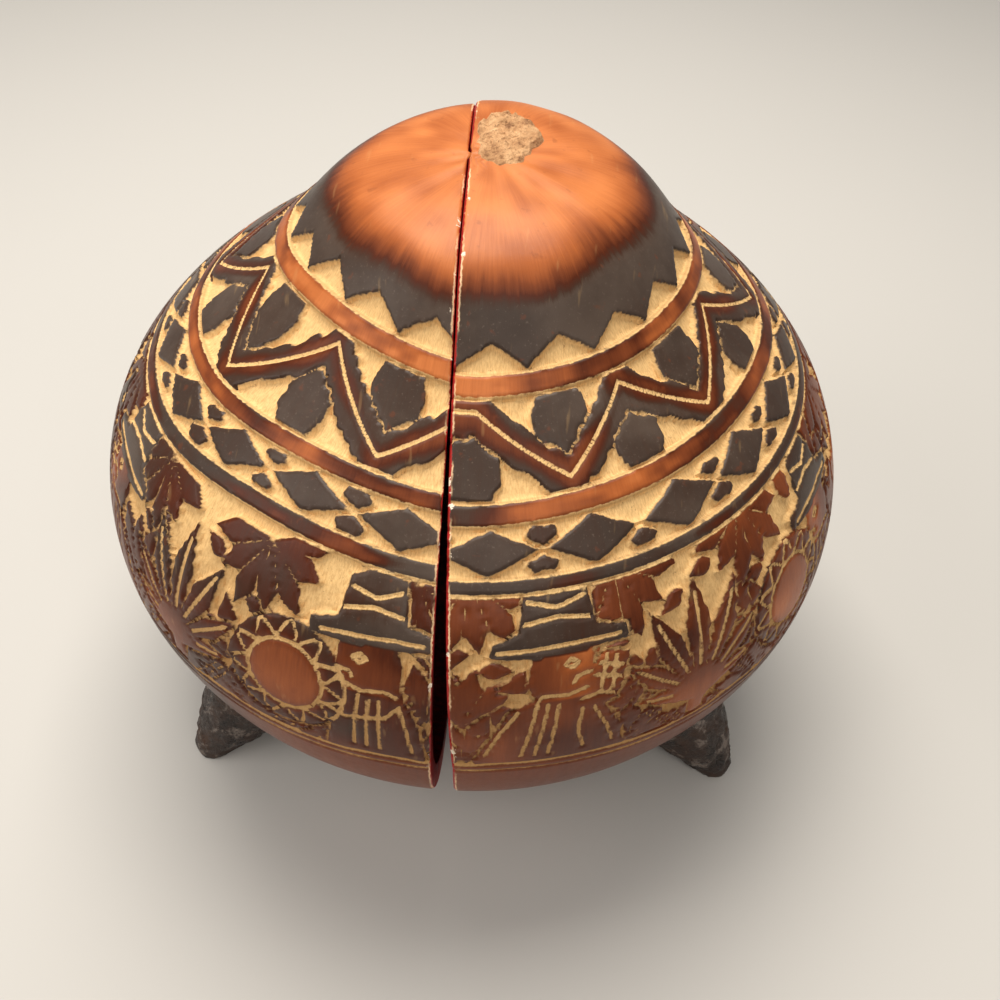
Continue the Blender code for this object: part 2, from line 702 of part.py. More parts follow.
def finish(item):
    """Give a piece its own material and smooth shading."""
    material = bpy.data.materials.new(item.name)
    material.use_nodes = True
    shader = material.node_tree.nodes["Principled BSDF"]
    shader.inputs["Base Color"].default_value = COLOURS[item.name]
    shader.inputs["Roughness"].default_value = ROUGHNESS[item.name.split("_")[0]]
    shader.inputs["Metallic"].default_value = 0.0
    item.data.materials.append(material)
    item.data.shade_smooth()
    item.data.set_sharp_from_angle(angle=math.radians(38))


for old in list(bpy.data.objects):
    bpy.data.objects.remove(old, do_unlink=True)
PARTS = bpy.data.collections.new("carved_gourd")
CUTTERS = bpy.data.collections.new("cutters")
bpy.context.scene.collection.children.link(PARTS)
bpy.context.scene.collection.children.link(CUTTERS)

HOLLOW = hollow_tool()
BODY = as_cutter(bend_with_gourd(apply_modifiers(turned("gourd_outside", CLEARANCE))))
TABLE = floor_tool()
gourd_half("gourd_half_left", CARVING["left"], HOLLOW)
RIGHT_HALF = gourd_half("gourd_half_right", CARVING["right"], HOLLOW)
feet = {name: foot(name, *place, BODY, TABLE) for name, place in FEET.items()}
strap_wing("hinge_strap_left", -1)
RIGHT_WING = strap_wing("hinge_strap_right", 1)
PIVOT = hinge_pivot()
for moving in (RIGHT_HALF, feet["foot_right"], RIGHT_WING):
    hang_on(PIVOT, moving)
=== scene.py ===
"""The looks of the carved gourd box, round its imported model.

Each half of the gourd is one closed mesh of fine rows and columns, carved by the formulas below.
The carving is worked out as distances in millimetres to the edges of the bare ground and of the
engraved lines. They sink the mesh, and ride on its points for the material to colour by.
"""
import math

import bmesh
import bpy
import numpy as np
from mathutils import Matrix, Vector


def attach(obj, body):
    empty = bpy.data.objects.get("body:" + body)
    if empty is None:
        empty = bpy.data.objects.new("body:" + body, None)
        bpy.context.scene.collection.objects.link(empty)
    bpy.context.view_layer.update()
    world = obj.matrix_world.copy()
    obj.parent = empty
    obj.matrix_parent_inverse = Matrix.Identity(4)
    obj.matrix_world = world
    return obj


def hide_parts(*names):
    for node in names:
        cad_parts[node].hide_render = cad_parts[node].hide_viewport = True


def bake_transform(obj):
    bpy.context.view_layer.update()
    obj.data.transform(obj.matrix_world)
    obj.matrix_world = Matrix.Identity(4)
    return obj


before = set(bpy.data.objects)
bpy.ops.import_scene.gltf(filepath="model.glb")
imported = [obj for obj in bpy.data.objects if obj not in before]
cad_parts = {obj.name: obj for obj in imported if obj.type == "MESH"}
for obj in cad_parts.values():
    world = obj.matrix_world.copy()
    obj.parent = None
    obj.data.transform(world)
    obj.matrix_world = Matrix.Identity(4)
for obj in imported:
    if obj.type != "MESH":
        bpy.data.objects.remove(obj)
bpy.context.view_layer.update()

MM = 0.001  # sizes are in millimetres here, and the scene is in metres
DEGREE = math.pi / 180

# The gourd's form, as (height, radius) from the middle of its underside to the top of its dome
PROFILE = [
    (5.0, 0.0), (5.6, 18.0), (8.0, 32.0), (13.0, 42.0), (20.0, 50.0), (29.0, 57.0),
    (38.0, 61.8), (51.0, 65.0), (59.0, 64.6), (66.0, 62.8), (73.0, 59.4), (80.0, 53.6),
    (86.0, 46.7), (91.0, 39.9), (95.0, 34.9), (98.5, 31.3), (104.5, 25.2), (107.0, 21.5),
    (108.8, 16.0), (109.7, 9.0), (110.0, 0.0),
]
GOURD_Y = -0.7
LEAN_FROM = 62.0
LEAN_OVER = 40.0
LEAN_X = 1.1
LEAN_Y = 3.1
WALL = 4.0

# The saw cut
SEAM_X = -2.4
SAW_KERF = 0.3
GAPE = 2.6
GAPE_LEFT = -0.35
GAPE_TOP = 93.0
GAPE_LOW = 49.0
GAPE_FROM_Y = 25.0
GAPE_OVER_Y = 70.0
LEFT_EDGE = 0.18  # the paint laps this much less over the left half's edge

# The scar of the stem
SCAR_X = 3.1
SCAR_Y = 6.4
SCAR_HALF_WIDE = 5.3
SCAR_HALF_DEEP = 7.3
SCAR_HEIGHT = 0.9

# The top of the dome is fullest a little behind the middle
LIFT = 2.3
LIFT_X = 2.0
LIFT_Y = 16.0
LIFT_WIDE = 15.0
LIFT_DEEP = 13.0
PROUD = 0.45  # the right half stands this far above the left at the dome

# The carving, in millimetres along the skin
CARVE_DEPTH = 1.0
SCARP = 0.45  # the width of the slope at a standing edge
NOTCH_HEIGHT = 2.9
ZIGZAG_OFF_RING = 1.1
ZIGZAG_ABOVE = 1.95
ZIGZAG_BELOW = 2.55
MEDALLION_GAP = 0.34
DIAMOND_GAP = 0.28
EDGE_LINE = 0.31  # half of the thin line that follows a ring
FINE_LINE = 0.30  # half of an engraved line
ZIGZAG_LINE = 0.26
FURROW_LINE = 0.25
BASE_LINES = ((0.1, 0.36), (1.9, 0.26))  # below the figures: how far, and half the width
LINE_DEPTH = 0.36
GOUGE_DEPTH = 0.12
SKIN_SUNK = 0.05  # the skin lies this far inside the profile
OUTSIDE = -9.0  # stands for a distance where nothing is near
FIGURE_BASE = 51.5
FIGURE_RADIUS = 62.0

# The scorching of the dome and of the rings
BURN_ASIDE = 105.8  # the height of the burnt edge at the sides
BURN_ASIDE_FROM = 12.0
BURN_ASIDE_OVER = 34.0
BURN_SOFT = 5.4
RING_TONES = ((0.38, 0.26), (0.49, 0.28), (0.84, 0.20))  # each ring's tone and its swing

# Each half's carving, in degrees round from the front seam, as the model has it
CARVING = {
    "right": {
        "side": 1,
        "seed": 5,
        "rings": [
            ([(0, 96.1), (30, 97.0), (60, 97.9), (90, 97.7), (180, 97.6)], 2.2),
            ([(0, 85.6), (30, 86.7), (65, 87.5), (90, 86.8), (180, 87.0)], 2.0),
            ([(0, 79.2), (30, 79.8), (65, 80.5), (90, 80.6), (180, 80.6)], 1.6),
        ],
        "notch": (3.0, 18.0),
        "zigzag": (0.5, 18.0, 33.0, 51.5, 70.5, 92.0, 110.0, 128.0, 146.0, 164.0, 182.0),
        "diamond": (3.8, 16.3),
        "burn": 103.7,
        "hill": 1.6,
        "tone": -0.11,
        "figures": [(13, "piper", 1), (34, "plant", 1), (59, "drummer", 1), (86, "llama", 1),
                    (112, "plant", 1), (133, "piper", -1), (159, "drummer", -1)],
    },
    "left": {
        "side": -1,
        "seed": 9,
        "rings": [
            ([(0, 97.0), (25, 98.7), (50, 99.5), (75, 98.6), (90, 98.0), (180, 97.6)], 2.4),
            ([(0, 86.2), (30, 87.5), (60, 86.7), (90, 86.2), (180, 87.0)], 1.7),
            ([(0, 80.4), (35, 81.9), (60, 80.5), (90, 79.8), (180, 80.6)], 1.9),
        ],
        "notch": (12.0, 19.0),
        "zigzag": (-2.0, 17.0, 35.5, 57.5, 75.0, 95.0, 113.0, 131.0, 149.0, 167.0, 185.0),
        "diamond": (9.4, 16.9),
        "burn": 103.6,
        "hill": 6.4,
        "tone": 0.06,
        "figures": [(16.5, "drummer", -1), (41.5, "plant", 1), (63, "piper", 1),
                    (90.5, "llama", -1), (113, "plant", 1), (137.5, "drummer", 1),
                    (163.5, "piper", 1)],
    },
}

# The figures' outlines, in millimetres along and up the gourd's side from their base line
PIPER = [
    (-8.5, 1.0), (8.0, 1.0), (6.6, 7.0), (6.0, 11.0), (9.0, 11.6), (11.2, 18.6), (7.0, 19.6),
    (5.4, 17.2), (5.2, 20.4), (10.0, 20.8), (10.2, 22.6), (4.6, 23.0), (3.6, 26.4),
    (-2.0, 26.6), (-3.4, 22.7), (-8.6, 21.7), (-8.4, 20.0), (-3.2, 19.8), (-3.8, 16.0),
    (-2.6, 13.2), (-5.6, 11.0),
]
DRUMMER = [
    (1.6, 1.0), (12.5, 1.0), (11.5, 8.0), (10.6, 13.4), (10.9, 18.0), (10.0, 20.2),
    (14.0, 20.6), (14.0, 22.4), (9.6, 23.0), (8.4, 26.4), (3.8, 26.4), (2.6, 22.8),
    (-2.0, 22.0), (-1.8, 20.2), (1.4, 20.0),
]
DRUM_MIDDLE = (-6.2, 11.6)
DRUM_RADIUS = 9.3
DRUM_HEAD = 5.9
DRUM_LACES = 11
LLAMA = [
    (7.2, 1.0), (9.4, 1.0), (9.0, 8.0), (10.2, 11.5), (11.6, 19.0), (15.4, 19.4), (15.8, 21.4),
    (12.6, 23.0), (12.2, 25.6), (10.8, 25.4), (10.2, 23.0), (8.6, 20.6), (6.8, 16.2),
    (0.0, 16.6), (-7.5, 16.2), (-10.6, 17.8), (-11.8, 16.4), (-10.4, 13.0), (-10.2, 8.0),
    (-10.4, 1.0), (-8.2, 1.0), (-7.4, 7.0), (-6.2, 8.4), (-5.6, 1.0), (-3.4, 1.0), (-3.2, 8.2),
    (2.8, 8.0), (3.0, 1.0), (5.2, 1.0), (5.8, 8.0), (7.0, 6.8),
]
LEAVES = 7
LEAF_FAN = 156.0
LEAF_LENGTH = 19.5
LEAF_FILL = 0.42
LEAF_BELLY = 0.62
LEAF_SHORTER = 0.72
LEAF_VALLEY = 4.0
LEAF_START = 6.4

# What the looks add to the figures: a hat up to the ring above and a wider poncho
WIDER = {
    "piper": [
        [(-8.9, 22.0), (-9.3, 20.2), (-2, 20.8), (11.2, 20.6), (10.9, 22.6), (6.2, 23.6),
         (5.4, 29.0), (1.0, 31.0), (-4.4, 29.5), (-5.2, 23.4)],
        [(-11.5, -1.0), (-9.8, 4.0), (-6.2, 11.6), (-2.4, 13.8), (6.2, 12.4), (9.6, 6.0),
         (10.8, -1.0)],
    ],
    "drummer": [
        [(-3.4, 22.4), (-3.2, 20.2), (4, 21.0), (15.4, 20.4), (15.2, 22.6), (11.0, 23.8),
         (10.0, 29.5), (5.6, 31.0), (1.2, 29.0), (0.6, 23.4)],
        [(0.0, -1.0), (1.6, 8.0), (3.0, 13.6), (10.8, 14.2), (13.4, 8.0), (14.6, -1.0)],
    ],
    "llama": [
        [(-8.6, 16.0), (-5.6, 17.6), (-1.0, 18.4), (4.6, 17.4), (7.0, 15.4), (6.0, 8.6),
         (-7.6, 8.2)],
    ],
}

# The engraved lines of each figure, in the same millimetres
FIGURE_LINES = {
    "piper": [
        [(-8.2, 20.9), (-3.0, 21.2), (4.8, 21.6), (9.8, 21.5)],
        [(-4.6, 24.6), (0.4, 25.4), (5.4, 24.8)],
        [(-4.2, 27.6), (0.6, 26.6), (4.8, 27.8)],
        [(-9.4, 2.6), (-7.4, 7.8), (-5.0, 11.6)],
        [(8.8, 2.4), (7.6, 6.4), (5.6, 10.8)],
        [(1.4, 18.6), (2.4, 19.4), (3.4, 18.7), (2.5, 18.0), (1.4, 18.6)],
        [(5.2, 17.0), (3.2, 16.6), (2.6, 15.6)],
        [(4.6, 14.6), (2.0, 13.8), (-1.6, 14.0), (-2.6, 13.2)],
        [(-2.4, 13.0), (-3.4, 7.0), (-4.4, 2.0)],
        [(-0.9, 12.6), (-1.7, 7.0), (-2.5, 2.0)],
        [(0.6, 12.4), (0.0, 7.0), (-0.6, 2.0)],
        [(3.6, 12.6), (6.6, 13.2), (8.6, 12.4)],
        [(4.0, 11.0), (3.4, 7.0), (4.4, 2.4)],
        [(6.0, 18.0), (10.4, 16.6)],
        [(5.7, 16.2), (10.0, 14.9)],
        [(7.6, 19.2), (6.6, 14.0)],
        [(9.1, 18.8), (8.2, 13.4)],
    ],
    "drummer": [
        [(-1.6, 21.1), (2.8, 21.4), (9.4, 21.7), (13.6, 21.4)],
        [(1.2, 24.8), (5.6, 25.6), (10.2, 24.8)],
        [(1.8, 27.8), (5.8, 26.8), (9.6, 28.0)],
        [(12.6, 2.0), (11.8, 7.0), (10.8, 11.6)],
        [(3.6, 18.4), (4.7, 19.1), (5.8, 18.4), (4.7, 17.7), (3.6, 18.4)],
        [(1.6, 16.4), (3.4, 16.2), (4.0, 15.3)],
        [(2.2, 14.4), (5.4, 13.4), (8.6, 13.9), (10.4, 13.2)],
        [(5.0, 12.6), (4.6, 7.0), (4.4, 2.0)],
        [(6.5, 12.2), (6.3, 7.0), (6.2, 2.0)],
        [(8.0, 12.2), (8.0, 7.0), (8.1, 2.0)],
        [(10.2, 11.0), (8.8, 9.0), (3.2, 8.0), (0.6, 9.0)],
    ],
    "llama": [
        [(12.6, 21.2), (13.5, 21.8), (14.3, 21.2), (13.4, 20.6), (12.6, 21.2)],
        [(-4.6, 16.2), (-5.2, 9.0)],
        [(-3.0, 16.3), (-3.6, 9.0)],
        [(1.6, 16.3), (1.0, 9.0)],
        [(3.2, 16.3), (2.6, 9.0)],
        [(-5.0, 12.8), (3.0, 12.8)],
        [(-2.6, 14.6), (-1.0, 15.4), (0.6, 14.6), (-1.0, 13.8), (-2.6, 14.6)],
        [(-2.8, 11.0), (-1.2, 11.8), (0.4, 11.0), (-1.2, 10.2), (-2.8, 11.0)],
        [(8.9, 18.6), (11.0, 18.0)],
        [(8.3, 16.6), (10.6, 16.0)],
        [(7.6, 14.6), (10.2, 13.8)],
        [(6.4, 13.0), (9.2, 12.0)],
        [(-9.0, 14.6), (-7.4, 13.6)],
        [(-9.2, 12.4), (-7.6, 11.4)],
        [(-9.0, 10.2), (-7.4, 9.4)],
    ],
}
SPRIG_REACH = 11.5  # the small sprays of leaves that fill the ground between the figures
SPRIG_WIDTH = 1.8
SPRIG_BELLY = 0.68
SPRIG_FAN = (-90, -60, -30, 0, 30, 60, 90)
LONE_LEAVES = ((11.5, 500), (8.0, 900), (5.2, 1600))  # single leaves: their length, and the tries
LONE_LEAF_WIDTH = 0.24  # half of its breadth, as a share of its length
LONE_LEAF_GAP = 0.42
SPRIG_GAP = 0.40  # the bare ground kept round a spray
FIGURE_GAP = 0.45  # the bare ground kept round a figure
SPRIG_ASIDE = 8.0  # the first spray of each gap stands this many degrees aside
SPRIG_UP = 0.62  # and this far up, as a share of the band
FURROW_PITCH = 7.6

# The feet, which the looks make broader at the tip than plain cones
FOOT_BROAD_BELOW = 18.0
FOOT_BROADER_IN = 5.0  # millimetres
FOOT_BROADER_ASIDE = 0.15  # as a share
FOOT_VOXEL = 0.0005  # metres

# The bare ground is painted darker low down, as shade, between these reaches along the profile
PAINTED_SHADE_LOW = 90.0
PAINTED_SHADE_HIGH = 120.0

# The strap over the back seam
STRAP_LOW = 38.6
STRAP_HIGH = 64.3
STRAP_WIDE = 14.3
STRAP_CORNER = 3.0
STRAP_GAP = 0.32
STRAP_THICK = 1.15
STRAP_EDGE_FALL = 0.35  # how much thinner it gets towards its edge
STRAP_CREASE = 0.22  # how deep it is creased over the cut
STRAP_COLUMNS = 56
STRAP_ROWS = 48
STITCH_INSET = 2.1
STITCH_PITCH = 2.5
STITCH_LONG = 1.7
STITCH_THICK = 0.55

# The grid of each half
COLUMNS = 330
EDGE_COLUMNS = (0.0013, 0.0028)  # extra columns beside the saw cut, as shares of a row
DOME_STEP = 0.75
CARVED_STEP = 0.41
UNDER_STEP = 2.1
INNER_COLUMNS = 24
RIM_STEPS = 3
CARVED_LOW = 48.5
CARVED_HIGH = 102.5

# Colours of light, as linear red, green and blue
CREAM = (0.90, 0.59, 0.26, 1)
CREAM_SHADE = (0.72, 0.44, 0.18, 1)
CREAM_SPECK = (0.26, 0.11, 0.035, 1)
# the cream in painted shade, low on the body
CREAM_IN_SHADE = (0.38, 0.185, 0.062, 1)
VARNISH_PALE = (0.66, 0.210, 0.060, 1)
VARNISH = (0.42, 0.112, 0.028, 1)
TOAST = (0.200, 0.048, 0.014, 1)
UMBER = (0.078, 0.016, 0.005, 1)
SOOT = (0.055, 0.026, 0.016, 1)
CHAR = (0.054, 0.035, 0.026, 1)
RED_PAINT = (0.35, 0.011, 0.009, 1)
RED_DEEP = (0.20, 0.006, 0.005, 1)
RED_WORN = (0.70, 0.34, 0.27, 1)
RAW_EDGE = (0.92, 0.62, 0.36, 1)
RAW_CHIP = (0.92, 0.78, 0.62, 1)
# a paler char for flecks, which in soft patches also paints a sheen
PALE_CHAR_AND_SHEEN = (0.135, 0.098, 0.076, 1)
CORK = (0.50, 0.26, 0.115, 1)
CORK_PALE = (0.74, 0.44, 0.22, 1)
CORK_DARK = (0.20, 0.085, 0.032, 1)
STONE = (0.050, 0.031, 0.023, 1)
STONE_PALE = (0.27, 0.215, 0.18, 1)
STONE_BROWN = (0.085, 0.042, 0.025, 1)
STONE_DARK = (0.012, 0.009, 0.008, 1)
LEATHER = (0.17, 0.060, 0.024, 1)
LEATHER_DARK = (0.060, 0.020, 0.009, 1)
THREAD = (0.50, 0.36, 0.20, 1)
THREAD_SHADE = (0.26, 0.17, 0.085, 1)
FLOOR = (0.60, 0.58, 0.55, 1)
FLOOR_SHADE = (0.54, 0.52, 0.49, 1)

# The camera, fitted to the photograph
CAMERA_AT = (0.005104, -0.138005, 0.182769)
CAMERA_RIGHT = (0.99848227, 0.03974707, 0.03812244)
CAMERA_UP = (-0.05507404, 0.72060705, 0.6911529)
CAMERA_AHEAD = (0.0, 0.69220348, -0.7217024)
LENS = 36.0
SENSOR = 36.0

# The studio's soft boxes: name, place, size, power and colour
LIGHTS = (
    ("top_light", (-0.04, 0.16, 0.60), 0.40, 4.2, (1.0, 0.95, 0.87)),
    ("left_light", (-0.50, -0.20, 0.42), 0.40, 1.3, (1.0, 0.96, 0.91)),
    ("front_fill", (0.14, -0.50, 0.62), 0.50, 1.4, (1.0, 0.95, 0.88)),
)
LIGHTS_AIM = (0.0, 0.0, 0.06)
WORLD_COLOUR = (0.95, 0.93, 0.90, 1)
WORLD_STRENGTH = 0.24


def through(points, x):
    """The smooth curve through (position, value) points, read at x."""
    position, value = np.array(points, float).T
    slope = np.gradient(value, position)
    left = np.clip(np.searchsorted(position, x, side="right") - 1, 0, len(position) - 2)
    width = position[left + 1] - position[left]
    t = np.clip((x - position[left]) / width, 0, 1)
    share = t * t * (3 - 2 * t)
    bend = slope[left] * t * (1 - t) ** 2 - slope[left + 1] * t * t * (1 - t)
    return value[left] * (1 - share) + value[left + 1] * share + bend * width


def ease(value):
    """A smooth step from 0 to 1."""
    t = np.clip(value, 0, 1)
    return t * t * (3 - 2 * t)


def smooth_profile():
    """The profile as close points: the reach along it, the height and the radius."""
    height, radius = np.array(PROFILE).T
    reach = np.concatenate([[0], np.cumsum(np.hypot(np.diff(height), np.diff(radius)))])
    fine = np.linspace(0, reach[-1], 3000)
    heights = through(list(zip(reach, height)), fine)
    radii = through(list(zip(reach, radius)), fine)
    return fine, np.maximum.accumulate(heights), np.maximum(radii, 0)


REACH, HEIGHT, RADIUS = smooth_profile()


def reach_at(height):
    """How far along the profile a height is."""
    return np.interp(height, HEIGHT, REACH)


def lean(height):
    """Where the gourd's middle is at a height, because it grew a little crooked."""
    share = ease((height - LEAN_FROM) / LEAN_OVER)
    return LEAN_X * share, LEAN_Y * share + GOURD_Y


def skin_point(turn, reach, sunk):
    """Points on the gourd's skin: turn is the angle from the front, towards +x."""
    height = np.interp(reach, REACH, HEIGHT)
    radius = np.interp(reach, REACH, RADIUS)
    step = 0.6
    rise = np.interp(reach + step, REACH, HEIGHT) - np.interp(reach - step, REACH, HEIGHT)
    spread = np.interp(reach + step, REACH, RADIUS) - np.interp(reach - step, REACH, RADIUS)
    length = np.maximum(np.hypot(rise, spread), 1e-6)
    out = radius - sunk * rise / length
    high = height + sunk * spread / length
    off_x, off_y = lean(high)
    return np.stack([off_x + out * np.sin(turn), off_y - out * np.cos(turn), high], axis=-1)


def seam_place(side, y, z):
    """Where the sawn face of a half stands: the cut gapes at the front, below the shoulder."""
    front = ease((GAPE_FROM_Y - y) / GAPE_OVER_Y)
    low = np.clip((GAPE_TOP - z) / (GAPE_TOP - GAPE_LOW), 0, 1)
    return SEAM_X + side * SAW_KERF / 2 + (GAPE if side > 0 else GAPE_LEFT) * front * low


def hashed(i, j, seed):
    """A value from 0 to 1 for each whole-numbered place."""
    mixed = np.sin(i * 127.1 + j * 311.7 + seed * 74.7) * 43758.5453
    return mixed - np.floor(mixed)


def noise(x, y, seed=0):
    """Smooth noise over a plane, from -1 to 1."""
    i, j = np.floor(x), np.floor(y)
    u, v = ease(x - i), ease(y - j)
    low = hashed(i, j, seed) * (1 - u) + hashed(i + 1, j, seed) * u
    high = hashed(i, j + 1, seed) * (1 - u) + hashed(i + 1, j + 1, seed) * u
    return (low * (1 - v) + high * v) * 2 - 1


def to_segments(x, y, points, closed):
    """The distance to a line of points, and whether each place is inside it if it is closed."""
    nearest = np.full(x.shape, 1e9)
    inside = np.zeros(x.shape, bool)
    ends = list(zip(points, points[1:] + points[:1])) if closed else list(zip(points, points[1:]))
    for (ax, ay), (bx, by) in ends:
        dx, dy = bx - ax, by - ay
        along = np.clip(((x - ax) * dx + (y - ay) * dy) / max(dx * dx + dy * dy, 1e-9), 0, 1)
        nearest = np.minimum(nearest, np.hypot(x - ax - along * dx, y - ay - along * dy))
        if closed and ay != by:
            crosses = (ay > y) != (by > y)
            inside ^= crosses & (x < (bx - ax) * (y - ay) / (by - ay) + ax)
    return nearest, inside


def within(x, y, points):
    """The distance inside a closed outline, negative outside it."""
    nearest, inside = to_segments(x, y, points, True)
    return np.where(inside, nearest, -nearest)


def near_line(x, y, points):
    """The distance to an open line."""
    return to_segments(x, y, points, False)[0]


def fan_angles():
    """How far each leaf of a plant leans over."""
    return [math.radians(LEAF_FAN) * (0.5 - leaf / (LEAVES - 1)) for leaf in range(LEAVES)]


def from_leaf_start(lean_over, along, across=0.0):
    """A place along and across a leaf."""
    return (along * math.sin(lean_over) + across * math.cos(lean_over),
            LEAF_START + along * math.cos(lean_over) - across * math.sin(lean_over))


def leaf_fan():
    """A plant: a short stem and a fan of pointed leaves, the middle ones the longest."""
    outline = [(-1.3, 1.0), (1.3, 1.0), (1.5, LEAF_START - 2)]
    step = math.radians(LEAF_FAN) / (LEAVES - 1)
    for lean_over in fan_angles():
        length = LEAF_LENGTH * math.cos(lean_over * LEAF_SHORTER)
        belly = length * LEAF_BELLY
        half_width = LEAF_FILL * belly * step
        outline += [from_leaf_start(lean_over, belly, half_width),
                    from_leaf_start(lean_over, length),
                    from_leaf_start(lean_over, belly, -half_width),
                    from_leaf_start(lean_over - step / 2, LEAF_VALLEY)]
    return outline[:-1] + [(-1.5, LEAF_START - 2)]


def leaf_ribs():
    """The engraved rib of each leaf of a plant."""
    ribs = []
    for lean_over in fan_angles():
        length = LEAF_LENGTH * math.cos(lean_over * LEAF_SHORTER)
        ribs.append([from_leaf_start(lean_over, LEAF_VALLEY + 1),
                     from_leaf_start(lean_over, length * 0.86)])
    return ribs


class Carving:
    """The carving of one half, read at places on its skin.

    ground is how far inside bare ground a place is, line how far inside an engraved line, both
    in millimetres, and scorch how dark the standing skin is burnt, with painted shade added on the
    lower body's sides, from 0 to 1.
    """

    def __init__(self, plan, degrees, reach):
        self.plan = plan
        self.seed = plan["seed"]
        self.degrees = degrees
        self.reach = reach
        self.scale = DEGREE * np.interp(reach, REACH, RADIUS)
        self.height = np.interp(reach, REACH, HEIGHT)
        self.ground = np.full(reach.shape, OUTSIDE)
        self.line = np.full(reach.shape, OUTSIDE)
        self.scorch_and_shade = np.zeros(reach.shape)
        self.wobble = (0.22 * noise(degrees * 1.1, reach * 0.9, self.seed)
                       + 0.12 * noise(degrees * 2.9, reach * 2.1, self.seed + 1))
        rings = plan["rings"]
        self.upper = [reach_at(through(edge, degrees)) for edge, _ in rings]
        self.lower = [reach_at(through(edge, degrees) - width) for edge, width in rings]
        self.dome()
        self.notches()
        self.zigzag()
        self.diamonds()
        self.ring_bands()
        self.pictures()
        self.underside()

    def add_ground(self, distance):
        """Widen the bare ground by another shape."""
        self.ground = np.maximum(self.ground, distance)

    def add_line(self, distance, half):
        """Engrave another line, from the distance to its middle and half its width."""
        self.line = np.maximum(self.line, half - distance)

    def set_scorch_and_shade(self, where, value):
        """Set the skin's burn to a value in some places; on the lower body this value also carries
        painted shade.
        """
        self.scorch_and_shade = np.where(where, value, self.scorch_and_shade)

    def dome(self):
        """The orange dome, burnt dark below an uneven soft edge."""
        edge = self.plan["burn"] + 0.8 * noise(self.degrees / 24, self.reach * 0, self.seed + 2)
        aside = ease((self.degrees - BURN_ASIDE_FROM) / BURN_ASIDE_OVER)
        edge = edge + aside * (BURN_ASIDE - self.plan["burn"])
        burnt = ease((edge - self.height) / BURN_SOFT + 0.52)
        streak = (0.05 * noise(self.degrees * 1.3, self.reach * 0.12, self.seed + 3)
                  + 0.08 * noise(self.degrees * 0.5, self.reach * 0.3, self.seed + 12))
        mottle = 0.10 + 0.10 * noise(self.degrees * 0.09, self.reach * 0.25, self.seed + 13)
        fade = mottle * ease((self.height - 103) / 3) * (1 - burnt)
        self.scorch_and_shade = np.clip(burnt + fade + streak * burnt * (1 - burnt) * 4, 0, 1)

    def notches(self):
        """Bare notches cut into the burnt dome above the first ring."""
        first, spacing = self.plan["notch"]
        offset = (self.degrees - first) / spacing
        tooth = (1 - np.abs(offset - np.round(offset)) * 2) ** 0.8
        uneven = 1 + 0.16 * (hashed(np.round(offset), 0 * offset, self.seed) - 0.5)
        rim = through(self.plan["rings"][0][0], self.degrees)
        top = reach_at(rim + NOTCH_HEIGHT * tooth * uneven + 0.1)
        steep = 0.74
        self.add_ground(np.minimum((top - self.reach) * steep + self.wobble * 0.5,
                                   self.reach - self.upper[0]))

    def zigzag(self):
        """The zigzag strip with its middle line, and a dark medallion in each triangle."""
        turns = np.array(self.plan["zigzag"])
        edge, width = self.plan["rings"][0]
        high = through(edge, turns) - width - ZIGZAG_OFF_RING
        low = through(self.plan["rings"][1][0], turns) + ZIGZAG_OFF_RING
        middles = reach_at(np.where(np.arange(len(turns)) % 2 == 0, high, low))
        middle = np.interp(self.degrees, turns, middles)
        slopes = np.abs(np.diff(middles) / np.diff(turns))
        tilt = np.interp(self.degrees, (turns[1:] + turns[:-1]) / 2, slopes)
        off = (self.reach - middle) / np.hypot(1, tilt / np.maximum(self.scale, 0.3))
        torn = (0.38 * noise(self.degrees * 0.42, self.reach * 0.30, self.seed + 4)
                + 0.42 * np.abs(np.sin(self.degrees * 0.95 + 0.75 * self.reach)))
        above = np.minimum(off - ZIGZAG_ABOVE - torn, self.lower[0] - self.reach)
        below = np.minimum(-off - ZIGZAG_BELOW - torn, self.reach - self.upper[1])
        band = (self.reach < self.lower[0]) & (self.reach > self.upper[1])
        shade = (0.66 + 0.24 * noise(self.degrees * 0.10, self.reach * 0.22, self.seed + 5)
                 + 0.34 * ease((np.abs(off) - 0.7) / 2.0))
        shade = shade - 0.30 * ease((10 - self.degrees) / 9)
        self.set_scorch_and_shade(band, np.clip(shade, 0.14, 0.92))
        for index, turn in enumerate(turns):
            jitter = hashed(float(index), 3.0, self.seed) - 0.5
            cell = above if index % 2 else below
            away = self.lower[0] - self.reach if index % 2 else self.reach - self.upper[1]
            x = (self.degrees - turn) * self.scale
            mine = band & (cell > -0.5) & (np.abs(x) < 13)
            medallion = within(x[mine], away[mine], medallion_outline(jitter))
            medallion = np.minimum(medallion + self.wobble[mine] * 0.8, cell[mine] - MEDALLION_GAP)
            self.ground[mine] = np.minimum(cell[mine], -medallion)
            self.scorch_and_shade[mine] = np.where(medallion > -0.3, 0.97, self.scorch_and_shade[mine])
        self.add_line(np.where(band, np.abs(off), -OUTSIDE), ZIGZAG_LINE)

